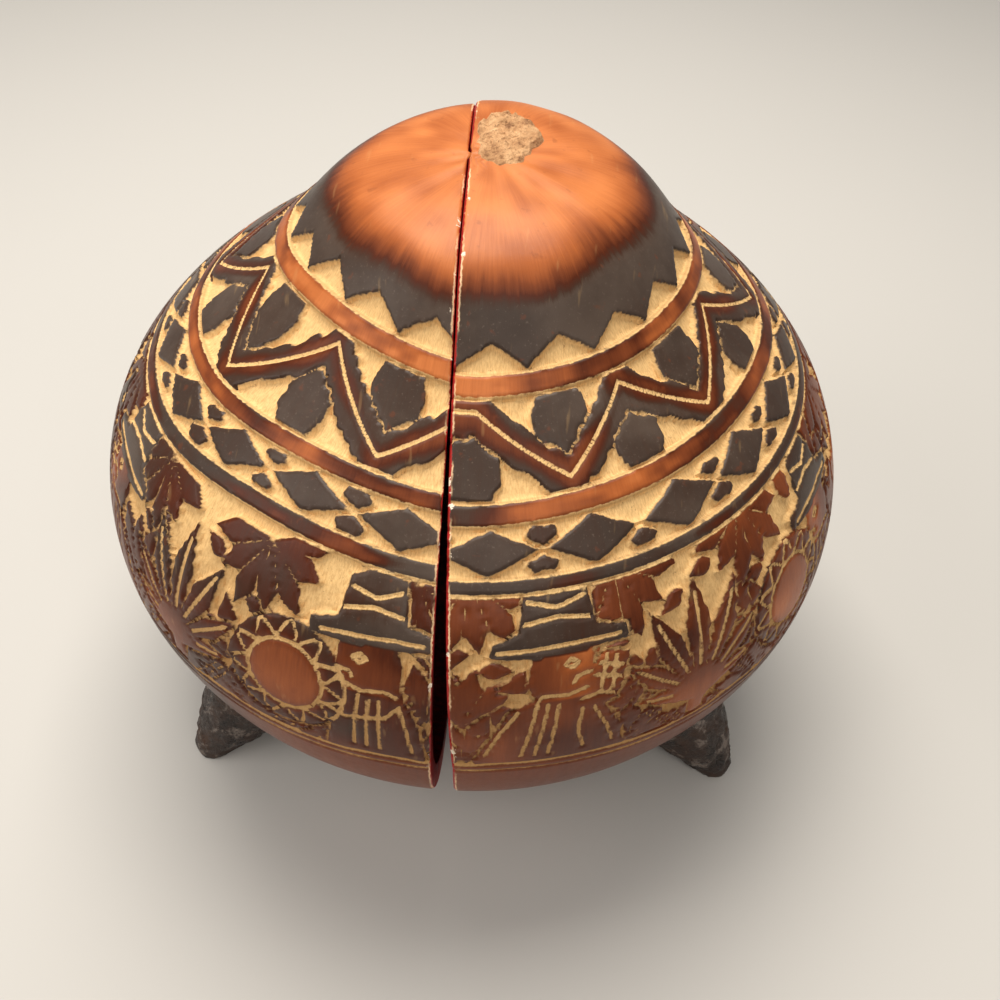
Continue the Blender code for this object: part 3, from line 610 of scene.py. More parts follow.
    def diamonds(self):
        """Dark diamonds point to point, with a small lozenge above and below each crossing."""
        first, spacing = self.plan["diamond"]
        upper, lower = self.lower[1], self.upper[2]
        band = (self.reach < upper) & (self.reach > lower)
        offset = (self.degrees - first) / spacing
        x = np.abs(offset - np.round(offset)) * spacing * self.scale
        half_wide = spacing * self.scale / 2
        half_tall = np.maximum((upper - lower) / 2, 0.5)
        y = self.reach - (upper + lower) / 2
        away = np.abs(y)
        steep = 1 / np.hypot(1, half_tall / half_wide)
        diamond = (half_tall * (1 - x / half_wide) - away) * steep
        from_crossing = half_wide - x
        lozenge = np.minimum(-diamond - 0.40, 2.40 - from_crossing)
        lozenge = np.minimum(lozenge, 3.0 - away)
        lozenge = np.minimum(lozenge, 3.15 - 0.77 * from_crossing - 0.64 * away)
        which = hashed(np.floor(offset), np.sign(y), self.seed + 6)
        lozenge = np.where(which < 0.10, -1, lozenge - 0.4 * which) + self.wobble * 0.8
        bare = np.minimum(DIAMOND_GAP - diamond + self.wobble * 0.5, -lozenge)
        bare = np.minimum(bare, np.minimum(upper - self.reach, self.reach - lower))
        self.ground = np.where(band, np.maximum(self.ground, bare), self.ground)
        self.set_scorch_and_shade(band, np.where(lozenge > -0.2, 0.88 + 0.10 * which, 0.97))

    def ring_bands(self):
        """The three plain rings, toasted unevenly along their length and darker at their edges."""
        for index, (upper, lower) in enumerate(zip(self.upper, self.lower)):
            inside = np.minimum(upper - self.reach, self.reach - lower)
            on_ring = inside > -0.05
            along = noise(self.degrees / 13 + 3.7 * index, 0 * self.reach, self.seed + 7 + index)
            base, swing = RING_TONES[index]
            stains = noise(self.degrees / 4.2, self.reach * 0.9, self.seed + 16)
            shade = base + swing * along + 0.16 * stains
            shade = shade + 0.26 * ease(1 - (upper - self.reach) / 1.0)
            shade = shade + 0.12 * ease(1 - (self.reach - lower) / 0.7)
            if index == 0:
                shade = shade - 0.24 * ease((14 - self.degrees) / 12)
            else:
                shade = shade + 0.30 * ease((9 - self.degrees) / 7)
            if index == 2:
                shade = shade - 0.34 * np.exp(-((self.degrees - 16) / 6) ** 2)
            self.ground = np.where(on_ring, -inside, self.ground)
            self.set_scorch_and_shade(on_ring, np.clip(shade, 0.10, 1))
            for edge in (upper, lower):
                toothed = 0.06 * np.abs(np.sin(self.degrees * 4.3)) + 0.18 * self.wobble
                self.add_line(np.abs(self.reach - edge) + toothed, EDGE_LINE)

    def pictures(self):
        """The picture band: figures, leaves and low hills that stand out of bare ground."""
        base = reach_at(FIGURE_BASE)
        top = self.lower[2]
        band = (self.reach < top) & (self.reach > base)
        up = self.reach - base
        figures = np.full(self.reach.shape, OUTSIDE)
        shade = np.full(self.reach.shape, 0.62)
        for middle, figure, facing in self.plan["figures"]:
            x = (self.degrees - middle) * DEGREE * FIGURE_RADIUS * facing
            box = band & (np.abs(x) < 18)
            shape, dark, lines = figure_at(figure, x[box], up[box])
            shape = shape + self.wobble[box] * 0.5
            shade[box] = np.where(shape > np.maximum(figures[box], -0.4), dark, shade[box])
            figures[box] = np.maximum(figures[box], shape)
            engraved = np.where(shape > 0.1, FINE_LINE - lines + 0.10 * self.wobble[box], OUTSIDE)
            self.line[box] = np.maximum(self.line[box], engraved)
        behind = self.hills(up)
        for sprig_middle, sprig_up, sprig_turn in self.sprigs(top - base):
            x = (self.degrees - sprig_middle) * DEGREE * FIGURE_RADIUS
            y = up - sprig_up
            box = band & (np.hypot(x, y) < SPRIG_REACH + 1)
            leaves = sprig_at(x[box], y[box], sprig_turn) + self.wobble[box] * 0.3
            behind[box] = np.maximum(np.minimum(behind[box], -leaves - SPRIG_GAP), leaves)
        # what stands behind a figure keeps a bare outline round it
        behind = np.minimum(behind, -figures - FIGURE_GAP)
        shade = np.where(behind > np.maximum(figures, -0.3), 0.66, shade)
        self.furrows(behind, up, band)
        standing = self.lone_leaves(np.maximum(figures, behind), up, band)
        inside = np.minimum(top - self.reach, self.reach - base)
        self.ground = np.where(band, np.minimum(-standing, inside), self.ground)
        mottle = 0.14 * noise(self.degrees * 0.16, self.reach * 0.2, self.seed + 8)
        shade = shade + mottle + np.where(shade < 0.9, self.plan["tone"], 0)
        self.set_scorch_and_shade(band, np.clip(shade, 0.05, 1))

    def lone_leaves(self, standing, up, band):
        """Single leaves of three sizes, wherever there is still room for one."""
        chance = np.random.default_rng(self.seed)
        inside = band & (np.abs(self.degrees - 88) < 96)
        x = self.degrees[inside] * DEGREE * FIGURE_RADIUS
        y = up[inside]
        taken = standing[inside]
        tall = y.max()
        for length, tries in LONE_LEAVES:
            for _ in range(tries):
                middle_x = chance.uniform(x.min(), x.max())
                middle_y = chance.uniform(1.0, tall - 0.5)
                way = chance.uniform(0, 2 * math.pi)
                near = np.nonzero((np.abs(x - middle_x) < length * 0.6)
                                  & (np.abs(y - middle_y) < length * 0.6))[0]
                off_x, off_y = x[near] - middle_x, y[near] - middle_y
                share = (off_x * math.sin(way) + off_y * math.cos(way)) / length + 0.5
                across = np.abs(off_x * math.cos(way) - off_y * math.sin(way))
                belly = np.sin(math.pi * np.clip(share, 0, 1) ** 1.35)
                leaf = np.where((share > -0.04) & (share < 1.04),
                                length * LONE_LEAF_WIDTH * belly - across, OUTSIDE)
                touched = taken[near][leaf > -LONE_LEAF_GAP]
                if len(touched) and touched.max() < -0.05:
                    taken[near] = np.maximum(taken[near], leaf)
        standing = standing.copy()
        standing[inside] = taken
        return standing

    def hills(self, up):
        """Low hills along the foot of the picture band."""
        crest = (self.plan["hill"] + 2.3 * noise(self.degrees / 8.5, 0 * up, self.seed + 14)
                 + 0.7 * noise(self.degrees / 2.7, 0 * up, self.seed + 15))
        return crest - up

    def furrows(self, behind, up, band):
        """Sets of three engraved lines over the hills."""
        along = self.degrees * DEGREE * FIGURE_RADIUS
        wander = 1.5 * noise(self.degrees / 20, 0 * up, self.seed)
        place = np.mod(along + 0.8 * up + wander, FURROW_PITCH)
        nearest = np.minimum(np.minimum(np.abs(place - 1), np.abs(place - 2.4)),
                             np.abs(place - 3.8))
        hill = np.where(band & (behind > 0.45) & (up < 8), FURROW_LINE - nearest, OUTSIDE)
        self.line = np.maximum(self.line, hill)

    def sprigs(self, tall):
        """Where the sprays of leaves stand: they hang from the ring and rise from the hills."""
        tall = float(np.median(tall))
        figures = self.plan["figures"]
        middles = [middle for middle, _, _ in figures]
        places = []
        gaps = list(zip([middles[0] - 24] + middles, middles + [middles[-1] + 24]))
        for order, (left, right) in enumerate(gaps):
            between = (left + right) / 2
            shift = 3.0 * (hashed(float(order), 1.0, self.seed) - 0.5)
            lean_over = 24 * (order % 2) - 12
            places.append((between - SPRIG_ASIDE, tall * SPRIG_UP, 150 + lean_over))
            places.append((between + shift, tall + 0.4, 180 + lean_over))
            places.append((between - shift, 9.0, -lean_over))
            places.append((between + shift, 0.5, lean_over))
        for middle, figure, facing in figures:
            if figure == "llama":
                places.append((middle - 5 * facing, tall + 0.4, 180 - 20 * facing))
        return places

    def underside(self):
        """The plain lower body, burnt dark and painted darker towards the sides as shade, with the
        double line that the figures stand on.
        """
        base = reach_at(FIGURE_BASE)
        below = self.reach <= base
        drop = base - self.reach
        shade = 0.52 + 0.12 * noise(self.degrees * 0.05, self.reach * 0.05, self.seed + 9)
        # painted shade: the lower body darkens towards its sides
        shade = shade + 0.22 * ease((self.degrees - 20) / 30)
        self.set_scorch_and_shade(below, shade)
        for depth, half in BASE_LINES:
            wander = 0.25 * noise(self.degrees * 0.12, self.reach * 0, self.seed + 10)
            self.add_line(np.abs(drop - depth + wander), half)


def medallion_outline(jitter):
    """A medallion's outline: x along the ring, y away from it, towards the turn of the strip."""
    half = 4.3 + 0.7 * jitter
    return [(-half + 1.3, -0.6), (half - 1.5, -0.6), (half, 2.8 + jitter), (half - 0.2, 6.2),
            (2 * jitter, 13.0), (-half + 0.1, 6.0), (-half, 3.0)]


def figure_at(figure, x, y):
    """One figure at its own places: how far inside it, how dark, and how near its lines."""
    lines = np.full(x.shape, 9.0)
    if figure == "plant":
        shape = within(x, y, leaf_fan())
        for rib in leaf_ribs():
            lines = np.minimum(lines, near_line(x, y, rib))
        dark = 0.46 + 0.30 * ease((y - 7) / 12)
        return shape, dark, lines
    outline = {"piper": PIPER, "drummer": DRUMMER, "llama": LLAMA}[figure]
    shape = within(x, y, outline)
    for wider in WIDER[figure]:
        shape = np.maximum(shape, within(x, y, wider))
    for points in FIGURE_LINES[figure]:
        lines = np.minimum(lines, near_line(x, y, points))
    if figure == "llama":
        dark = 0.50 + 0.30 * ease((y - 15) / 6) + 0.2 * ease((3 - y) / 3)
        return shape, dark, lines
    hat = y > 20.0 + 0.06 * x
    face = (y > 13.2) & ~hat
    dark = np.where(hat, 0.98, np.where(face, 0.36 + 0.04 * np.abs(x - 4), 0.64))
    if figure == "drummer":
        away = np.hypot(x - DRUM_MIDDLE[0], y - DRUM_MIDDLE[1])
        drum = DRUM_RADIUS - away
        lines = np.minimum(lines, np.where(shape > 0, np.abs(drum), 9))
        # the drum's head, and the laces that zigzag round it
        turn = np.arctan2(x - DRUM_MIDDLE[0], y - DRUM_MIDDLE[1]) * DRUM_LACES / (2 * math.pi)
        lace = DRUM_HEAD + (DRUM_RADIUS - DRUM_HEAD) * np.abs(2 * (turn - np.floor(turn)) - 1)
        lines = np.where(drum > 0, np.minimum(lines, np.abs(away - DRUM_HEAD)), lines)
        lines = np.where(drum > 0, np.minimum(lines, np.abs(away - lace) * 0.62), lines)
        dark = np.where(drum > 0, 0.36 + 0.36 * ease((away - 4.0) / 4.6), dark)
        shape = np.maximum(shape, drum)
    return shape, dark, lines


def sprig_at(x, y, turn):
    """A small spray of wedge-shaped leaves: how far inside the nearest leaf."""
    nearest = np.full(x.shape, OUTSIDE)
    for order, angle in enumerate(SPRIG_FAN):
        way = math.radians(angle + turn)
        length = SPRIG_REACH * (1 - 0.12 * (order % 2))
        along = x * math.sin(way) + y * math.cos(way)
        across = np.abs(x * math.cos(way) - y * math.sin(way))
        share = np.clip(along / length, 0, 1)
        half = np.where(share < SPRIG_BELLY, SPRIG_WIDTH * share / SPRIG_BELLY,
                        SPRIG_WIDTH * (1 - share) / (1 - SPRIG_BELLY))
        leaf = np.where((along > 0) & (along < length), half - across, OUTSIDE)
        nearest = np.maximum(nearest, leaf)
    return nearest


def grid_rows():
    """The reach of every row, close together where there is carving."""
    low, high, top = reach_at(CARVED_LOW), reach_at(CARVED_HIGH), REACH[-1]
    stretches = [(0.0, low, UNDER_STEP), (low, high, CARVED_STEP), (high, top, DOME_STEP)]
    rows = [0.0]
    for start, end, step in stretches:
        rows += list(np.linspace(start, end, round((end - start) / step) + 1)[1:])
    return np.array(rows)


def seam_turns(side, rows, sunk):
    """The angles at which each row meets the saw cut, in front and behind.

    Towards either end of the profile a row passes the cut altogether: then it is a whole turn,
    or nothing at all, and both angles are a quarter turn away from it.
    """
    off_x, off_y = lean(np.interp(rows, REACH, HEIGHT))
    edge = skin_point(np.full(rows.shape, math.pi / 2), rows, sunk)
    radius = np.maximum(edge[:, 0] - off_x, 1e-6)
    turns = []
    for way in (-1, 1):
        turn = np.full(rows.shape, 0.0 if way < 0 else math.pi)
        for _ in range(6):
            y = off_y - radius * np.cos(turn)
            ratio = (seam_place(side, y, edge[:, 2]) - off_x) / radius
            lift = np.arcsin(np.clip(ratio, -1, 1))
            turn = lift if way < 0 else math.pi - lift
        turns.append(turn)
    return turns


def passes_cut(side, rows):
    """Rows that lie wholly beyond the cut, near the ends of the profile."""
    off_x, off_y = lean(np.interp(rows, REACH, HEIGHT))
    radius = np.interp(rows, REACH, RADIUS)
    return radius <= off_x - seam_place(side, off_y, np.interp(rows, REACH, HEIGHT))


def half_mesh(name, plan):
    """One half of the gourd as a closed mesh, with its carving as values on its points."""
    side = plan["side"]
    rows = grid_rows()
    whole = passes_cut(side, rows)
    if side < 0:
        # nothing is left of a row that the cut passes, but for the one that closes the edge
        keep = ~whole
        keep[1:] |= ~whole[:-1]
        keep[:-1] |= ~whole[1:]
        rows, whole = rows[keep], whole[keep]
    turn, reach = skin_grid(side, rows, whole, column_shares(), 0.0)
    degrees = side * turn / DEGREE
    degrees = np.where(degrees < -90, degrees + 360, degrees)
    cut = Carving(plan, degrees, reach)
    rim = np.minimum(turn - turn[:, :1], turn[:, -1:] - turn) if side > 0 else (
        np.minimum(turn[:, :1] - turn, turn - turn[:, -1:]))
    rim = np.where(whole[:, None], 9, rim * cut.scale / DEGREE)
    inner_turn, inner_reach = skin_grid(side, rows, whole, np.linspace(0, 1, INNER_COLUMNS + 1),
                                        WALL)
    builder = Builder()
    skin = builder.add_grid(outer_places(turn, cut, side, rim), side > 0, False, {
        "ground": cut.ground, "line": cut.line, "scorch_and_shade": cut.scorch_and_shade, "around": degrees,
        "along": reach, "rim": rim + (0 if side > 0 else LEFT_EDGE)})
    hollow = builder.add_grid(skin_point(inner_turn, inner_reach, WALL), side < 0, True, {
        "around": inner_turn / DEGREE, "along": inner_reach})
    builder.add_rim(skin[:, 0], hollow[:, 0], side > 0)
    builder.add_rim(skin[:, -1], hollow[:, -1], side < 0)
    return builder.finish(name)


def column_shares():
    """The columns of the skin, as shares of a row, with close ones beside the saw cut."""
    near = list(EDGE_COLUMNS)
    step = near[-1] + 0.0018
    far = [1 - share for share in reversed(near)]
    return np.array([0.0] + near + list(np.linspace(step, 1 - step, COLUMNS - 5)) + far + [1.0])


def skin_grid(side, rows, whole, shares, sunk):
    """The angle and reach of every point of a half's skin, or of its hollow."""
    front, back = seam_turns(side, rows, sunk)
    if side < 0:
        # the left half runs the other way round, from the front seam over -x to the back
        back = back - 2 * math.pi
    front = np.where(whole, -math.pi / 2, front)
    back = np.where(whole, -math.pi / 2 + (2 * math.pi if side > 0 else 0), back)
    turn = front[:, None] * (1 - shares) + back[:, None] * shares
    reach = np.repeat(rows[:, None], len(shares), axis=1)
    return turn, reach


def top_lift(x, y):
    """How far the top of the dome rises above a plain turned form."""
    return LIFT * np.exp(-((x - LIFT_X) / LIFT_WIDE) ** 2 - ((y - LIFT_Y) / LIFT_DEEP) ** 2)


def outer_places(turn, cut, side, rim):
    """The skin's points, sunk where the carving is, with gouge marks on the bare ground."""
    deep = ease(cut.ground / SCARP + 0.25)
    gouged = GOUGE_DEPTH * noise(cut.degrees * 2.4, cut.reach * 1.7, cut.seed + 11) * deep
    scored = LINE_DEPTH * ease(cut.line / 0.3 + 0.3) * (1 - deep)
    swell = 0.12 * noise(turn * 4, cut.reach * 0.10, 21) * ease((cut.height - 99) / 6)
    rounded = 0.30 * np.clip(1 - rim / 0.55, 0, 1) ** 2
    proud = PROUD * ease((cut.height - 97) / 8) if side > 0 else 0
    sunk = CARVE_DEPTH * deep + gouged + scored + swell + rounded - proud + SKIN_SUNK
    places = skin_point(turn, cut.reach, sunk)
    places[..., 2] += top_lift(places[..., 0], places[..., 1]) * ease((cut.height - 96) / 9)
    return places


class Builder:
    """Gathers grids of points into one mesh with a skin and a painted inside."""

    VALUES = ("ground", "line", "scorch_and_shade", "around", "along", "rim")

    def __init__(self):
        self.points = []
        self.faces = []
        self.painted = []
        self.values = {name: [] for name in self.VALUES}
        self.count = 0

    def add_points(self, places, values):
        """Add a block of points and give their numbers back in the block's own shape."""
        shape = places.shape[:-1]
        size = int(np.prod(shape))
        self.points.append(places.reshape(-1, 3))
        for name, parts in self.values.items():
            plain = OUTSIDE if name == "ground" else 0.0
            value = np.broadcast_to(values.get(name, plain), shape)
            parts.append(value.reshape(-1))
        self.count += size
        return np.arange(self.count - size, self.count).reshape(shape)

    def add_faces(self, index, flip, painted):
        """Add the four-sided faces of a grid of point numbers."""
        quads = np.stack([index[:-1, :-1], index[:-1, 1:], index[1:, 1:], index[1:, :-1]], -1)
        quads = quads.reshape(-1, 4)
        self.faces.append(quads if flip else quads[:, ::-1])
        self.painted.append(np.full(len(quads), int(painted)))

    def add_grid(self, places, flip, painted, values):
        """Add a grid of points with its faces, and give the points' numbers back."""
        index = self.add_points(places, values)
        self.add_faces(index, flip, painted)
        return index

    def add_rim(self, outside, inside, flip):
        """The sawn face between the edge of the skin and that of the hollow."""
        points = np.concatenate(self.points)
        columns = [outside]
        for step in range(1, RIM_STEPS):
            share = step / RIM_STEPS
            columns.append(self.add_points(
                points[outside] * (1 - share) + points[inside] * share, {"around": share * 9}))
        columns.append(inside)
        self.add_faces(np.stack(columns, axis=1), flip, True)

    def finish(self, name):
        """Make the closed mesh, with its values on its points."""
        data = bpy.data.meshes.new(name)
        points = np.concatenate(self.points) * MM
        data.from_pydata(points.tolist(), [], np.concatenate(self.faces).tolist())
        data.polygons.foreach_set("material_index", np.concatenate(self.painted))
        for value_name, parts in self.values.items():
            layer = data.attributes.new(value_name, "FLOAT", "POINT")
            layer.data.foreach_set("value", np.concatenate(parts).astype(np.float32))
        mesh = bmesh.new()
        mesh.from_mesh(data)
        bmesh.ops.remove_doubles(mesh, verts=mesh.verts, dist=0.000004)
        bmesh.ops.dissolve_degenerate(mesh, edges=mesh.edges, dist=0.000001)
        bmesh.ops.recalc_face_normals(mesh, faces=mesh.faces)
        return as_object(name, mesh)


def as_object(name, mesh):
    """Put a mesh in the scene, shaded smooth."""
    data = bpy.data.meshes.new(name)
    mesh.to_mesh(data)
    mesh.free()
    data.shade_smooth()
    item = bpy.data.objects.new(name, data)
    bpy.context.scene.collection.objects.link(item)
    return item


class Nodes:
    """A short way to write a material's nodes."""

    def __init__(self, name):
        self.material = bpy.data.materials.new(name)
        self.material.use_nodes = True
        self.tree = self.material.node_tree
        self.shader = self.tree.nodes["Principled BSDF"]

    def new(self, kind, **settings):
        node = self.tree.nodes.new(kind)
        for key, value in settings.items():
            setattr(node, key, value)
        return node

    def link(self, output, socket):
        self.tree.links.new(output, socket)

    def value(self, name):
        return self.new("ShaderNodeAttribute", attribute_name=name).outputs["Fac"]

    def place(self):
        return self.new("ShaderNodeTexCoord").outputs["Object"]

    def noise(self, scale, detail=4.0, rough=0.55, stretch=None, vector=None):
        node = self.new("ShaderNodeTexNoise")
        node.inputs["Scale"].default_value = scale
        node.inputs["Detail"].default_value = detail
        node.inputs["Roughness"].default_value = rough
        source = vector or self.place()
        if stretch:
            mapping = self.new("ShaderNodeMapping")
            mapping.inputs["Scale"].default_value = stretch
            self.link(source, mapping.inputs["Vector"])
            source = mapping.outputs["Vector"]
        self.link(source, node.inputs["Vector"])
        return node.outputs["Fac"]

    def math(self, operation, first, second=None, clamp=False):
        node = self.new("ShaderNodeMath", operation=operation, use_clamp=clamp)
        for socket, item in zip(node.inputs, (first, second)):
            if item is None:
                continue
            if isinstance(item, (int, float)):
                socket.default_value = item
            else:
                self.link(item, socket)
        return node.outputs["Value"]

    def band(self, item, low, high, out_low=0.0, out_high=1.0):
        node = self.new("ShaderNodeMapRange", interpolation_type="SMOOTHSTEP")
        self.link(item, node.inputs["Value"])
        for socket, number in zip(("From Min", "From Max", "To Min", "To Max"),
                                  (low, high, out_low, out_high)):
            node.inputs[socket].default_value = number
        return node.outputs["Result"]

    def ramp(self, item, stops):
        node = self.new("ShaderNodeValToRGB")
        self.link(item, node.inputs["Fac"])
        elements = node.color_ramp.elements
        while len(elements) < len(stops):
            elements.new(0.5)
        for element, (position, colour) in zip(elements, stops):
            element.position = position
            element.color = colour
        return node.outputs["Color"]

    def mix(self, share, first, second, blend="MIX"):
        node = self.new("ShaderNodeMix", data_type="RGBA", blend_type=blend)
        for socket, item in zip((node.inputs[0], node.inputs[6], node.inputs[7]),
                                (share, first, second)):
            if isinstance(item, (int, float, tuple)):
                socket.default_value = item
            else:
                self.link(item, socket)
        return node.outputs[2]

    def flat_place(self, across, along):
        """A place on the skin itself, from degrees round it and millimetres up it."""
        node = self.new("ShaderNodeCombineXYZ")
        self.link(self.math("MULTIPLY", self.value("around"), across), node.inputs["X"])
        self.link(self.math("MULTIPLY", self.value("along"), along), node.inputs["Y"])
        return node.outputs["Vector"]

    def vary(self, value, by, amount, clamp=False):
        """A value moved up and down by a noise, with amount as the whole swing."""
        swing = self.math("MULTIPLY", self.math("SUBTRACT", by, 0.5), amount)
        return self.math("ADD", value, swing, clamp=clamp)

    def surface(self, colour, rough, height, strength, distance):
        """Set the shader's colour, roughness and bump, and give the material back."""
        self.link(colour, self.shader.inputs["Base Color"])
        self.link(rough, self.shader.inputs["Roughness"])
        self.bump(height, strength, distance)
        return self.material

    def bump(self, height, strength, distance):
        """Roughen the shader's surface by a height."""
        node = self.new("ShaderNodeBump")
        node.inputs["Strength"].default_value = strength
        node.inputs["Distance"].default_value = distance
        self.link(height, node.inputs["Height"])
        self.link(node.outputs["Normal"], self.shader.inputs["Normal"])


def gourd_material():
    """Varnished skin scorched from orange to char, with bare cream where it is carved away."""
    nodes = Nodes("carved_gourd_skin")
    ground, line = nodes.value("ground"), nodes.value("line")
    scorch_and_shade, rim = nodes.value("scorch_and_shade"), nodes.value("rim")
    grain = nodes.noise(900, 6, 0.65)
    cloud = nodes.noise(70, 5, 0.6)
    streaks = nodes.noise(1.0, 6, 0.62, vector=nodes.flat_place(0.75, 0.05))
    fibre = nodes.noise(1.0, 5, 0.6, vector=nodes.flat_place(2.6, 0.28))
    ragged = nodes.math("MULTIPLY", nodes.math("SUBTRACT", nodes.noise(1500, 3), 0.5), 0.30)
    bare = nodes.band(nodes.math("ADD", ground, ragged), -0.10, 0.08)
    engraved = nodes.band(nodes.math("ADD", line, ragged), -0.10, 0.08)
    cream = nodes.math("MAXIMUM", bare, engraved)
    # the skin, burnt by scorch, which also carries painted shade on the lower body's sides,
    # clouded, and streaked along its fibres
    burn = nodes.vary(scorch_and_shade, cloud, 0.16)
    burn = nodes.vary(burn, streaks, 0.17)
    burn = nodes.vary(burn, fibre, 0.14, clamp=True)
    skin = nodes.ramp(burn, [(0.0, VARNISH_PALE), (0.20, VARNISH), (0.44, TOAST),
                             (0.68, UMBER), (0.86, SOOT), (1.0, CHAR)])
    # the char is paler in soft patches, which are partly a painted sheen, and finely flecked paler
    char = nodes.band(burn, 0.80, 0.95)
    sheen_patches = nodes.math("MULTIPLY", char, nodes.band(nodes.noise(55, 5, 0.6), 0.40, 0.70, 0, 0.5))
    skin = nodes.mix(sheen_patches, skin, PALE_CHAR_AND_SHEEN)
    flecks = nodes.band(nodes.noise(2300, 3, 0.6), 0.60, 0.72, 0, 0.6)
    skin = nodes.mix(nodes.math("MULTIPLY", char, flecks), skin, PALE_CHAR_AND_SHEEN)
    speckle = nodes.band(nodes.noise(520, 3, 0.5), 0.64, 0.74, 0.0, 0.30)
    skin = nodes.mix(speckle, skin, TOAST)
    scuff = nodes.band(nodes.noise(700, 2, 0.5, stretch=(1.0, 0.16, 0.3)), 0.66, 0.76, 0, 0.12)
    skin = nodes.mix(scuff, skin, CREAM_SHADE)
    # the bare ground is fibrous, with brown specks and a darker edge, and painted shade low down
    strands = nodes.noise(1.0, 4, 0.7, vector=nodes.flat_place(3.4, 0.9))
    straw = nodes.mix(nodes.band(strands, 0.36, 0.60), CREAM_SHADE, CREAM)
    straw = nodes.mix(nodes.band(grain, 0.60, 0.72, 0.0, 0.35), straw, CREAM_SHADE)
    straw = nodes.mix(nodes.band(nodes.noise(1300, 4, 0.7), 0.64, 0.70, 0.0, 0.65), straw,
                      CREAM_SPECK)
    # painted shade: the cream darkens towards the bottom
    low_shade = nodes.band(nodes.value("along"), PAINTED_SHADE_LOW, PAINTED_SHADE_HIGH, 0.70, 0.0)
    straw = nodes.mix(low_shade, straw, CREAM_IN_SHADE)
    # the cream is darker along the wall of the carved step
    edge_darkening = nodes.band(nodes.math("ABSOLUTE", ground), 0.0, 0.30, 0.34, 0.0)
    straw = nodes.mix(edge_darkening, straw, CREAM_SPECK)
    colour = nodes.mix(cream, skin, straw)
    # red paint laps over the sawn edge, and is chipped to the pale shell in places
    lap = nodes.math("ADD", rim, nodes.math("MULTIPLY", ragged, 1.6))
    painted = nodes.band(lap, 0.24, 0.36, 1.0, 0.0)
    raw = nodes.math("MULTIPLY", nodes.band(lap, 0.42, 0.62, 0.9, 0.0),
                     nodes.band(nodes.noise(110, 4, 0.6), 0.42, 0.56))
    colour = nodes.mix(raw, colour, RAW_EDGE)
    chips = nodes.band(nodes.noise(430, 4, 0.6), 0.625, 0.66)
    chips = nodes.math("MULTIPLY", chips, nodes.band(lap, 0.65, 0.90, 1.0, 0.0))
    colour = nodes.mix(painted, colour, RED_PAINT)
    colour = nodes.mix(chips, colour, RAW_CHIP)
    gloss = nodes.vary(nodes.band(cream, 0.0, 1.0, 0.34, 0.85), grain, 0.20, clamp=True)
    height = nodes.math("ADD", grain, strands)
    height = nodes.math("MULTIPLY", height, nodes.band(cream, 0, 1, 0.12, 1.0))
    nodes.shader.inputs["Specular IOR Level"].default_value = 0.20
    return nodes.surface(colour, gloss, height, 0.5, 0.00025)


def paint_material():
    """The red paint of the inside and of the sawn faces, brushed, thin and chipped."""
    nodes = Nodes("red_paint")
    cloud = nodes.noise(160, 5, 0.65)
    brush = nodes.noise(600, 3, 0.5, stretch=(1.0, 1.0, 0.12))
    red = nodes.mix(nodes.band(nodes.math("ADD", cloud, brush), 0.80, 1.20), RED_DEEP, RED_PAINT)
    red = nodes.mix(nodes.band(nodes.noise(1100, 3, 0.6), 0.66, 0.72, 0, 0.5), red, RED_WORN)
    return nodes.surface(red, nodes.band(cloud, 0.3, 0.7, 0.42, 0.66),
                         nodes.math("ADD", brush, cloud), 0.4, 0.0003)


def cork_material():
    """The pale, pitted cork of the stem scar."""
    nodes = Nodes("corky_scar")
    lumps = nodes.noise(420, 6, 0.7)
    pits = nodes.noise(1500, 4, 0.65)
    colour = nodes.ramp(lumps, [(0.34, CORK_DARK), (0.45, CORK), (0.64, CORK_PALE)])
    colour = nodes.mix(nodes.band(pits, 0.56, 0.66, 0, 0.6), colour, CORK_DARK)
    return nodes.surface(colour, nodes.band(pits, 0.3, 0.7, 0.82, 0.96),
                         nodes.math("ADD", lumps, pits), 0.8, 0.0006)


def stone_material():
    """Dark stone-like feet, rough, with pale grey patches and a worn sheen."""
    nodes = Nodes("stone_foot")
    lumps = nodes.noise(170, 6, 0.7)
    pale_patches = nodes.noise(260, 6, 0.75)
    grit = nodes.noise(900, 4, 0.7)
    colour = nodes.ramp(lumps, [(0.34, STONE_DARK), (0.50, STONE), (0.70, STONE_BROWN)])
    colour = nodes.mix(nodes.band(pale_patches, 0.52, 0.64, 0, 0.85), colour, STONE_PALE)
    colour = nodes.mix(nodes.band(grit, 0.56, 0.70, 0, 0.6), colour, STONE_DARK)
    return nodes.surface(colour, nodes.band(lumps, 0.35, 0.65, 0.24, 0.72),
                         nodes.math("ADD", lumps, grit), 0.8, 0.0008)


def leather_material():
    """Brown strap leather with a pebbled grain."""
    nodes = Nodes("strap_leather")
    cells = nodes.new("ShaderNodeTexVoronoi", feature="DISTANCE_TO_EDGE")
    cells.inputs["Scale"].default_value = 900
    nodes.link(nodes.place(), cells.inputs["Vector"])
    creases = nodes.band(cells.outputs["Distance"], 0.0, 0.16)
    cloud = nodes.noise(120, 5, 0.6)
    colour = nodes.mix(nodes.band(cloud, 0.35, 0.65), LEATHER_DARK, LEATHER)
    colour = nodes.mix(creases, LEATHER_DARK, colour)
    return nodes.surface(colour, nodes.band(cloud, 0.3, 0.7, 0.46, 0.68),
                         nodes.math("ADD", creases, cloud), 0.5, 0.0003)


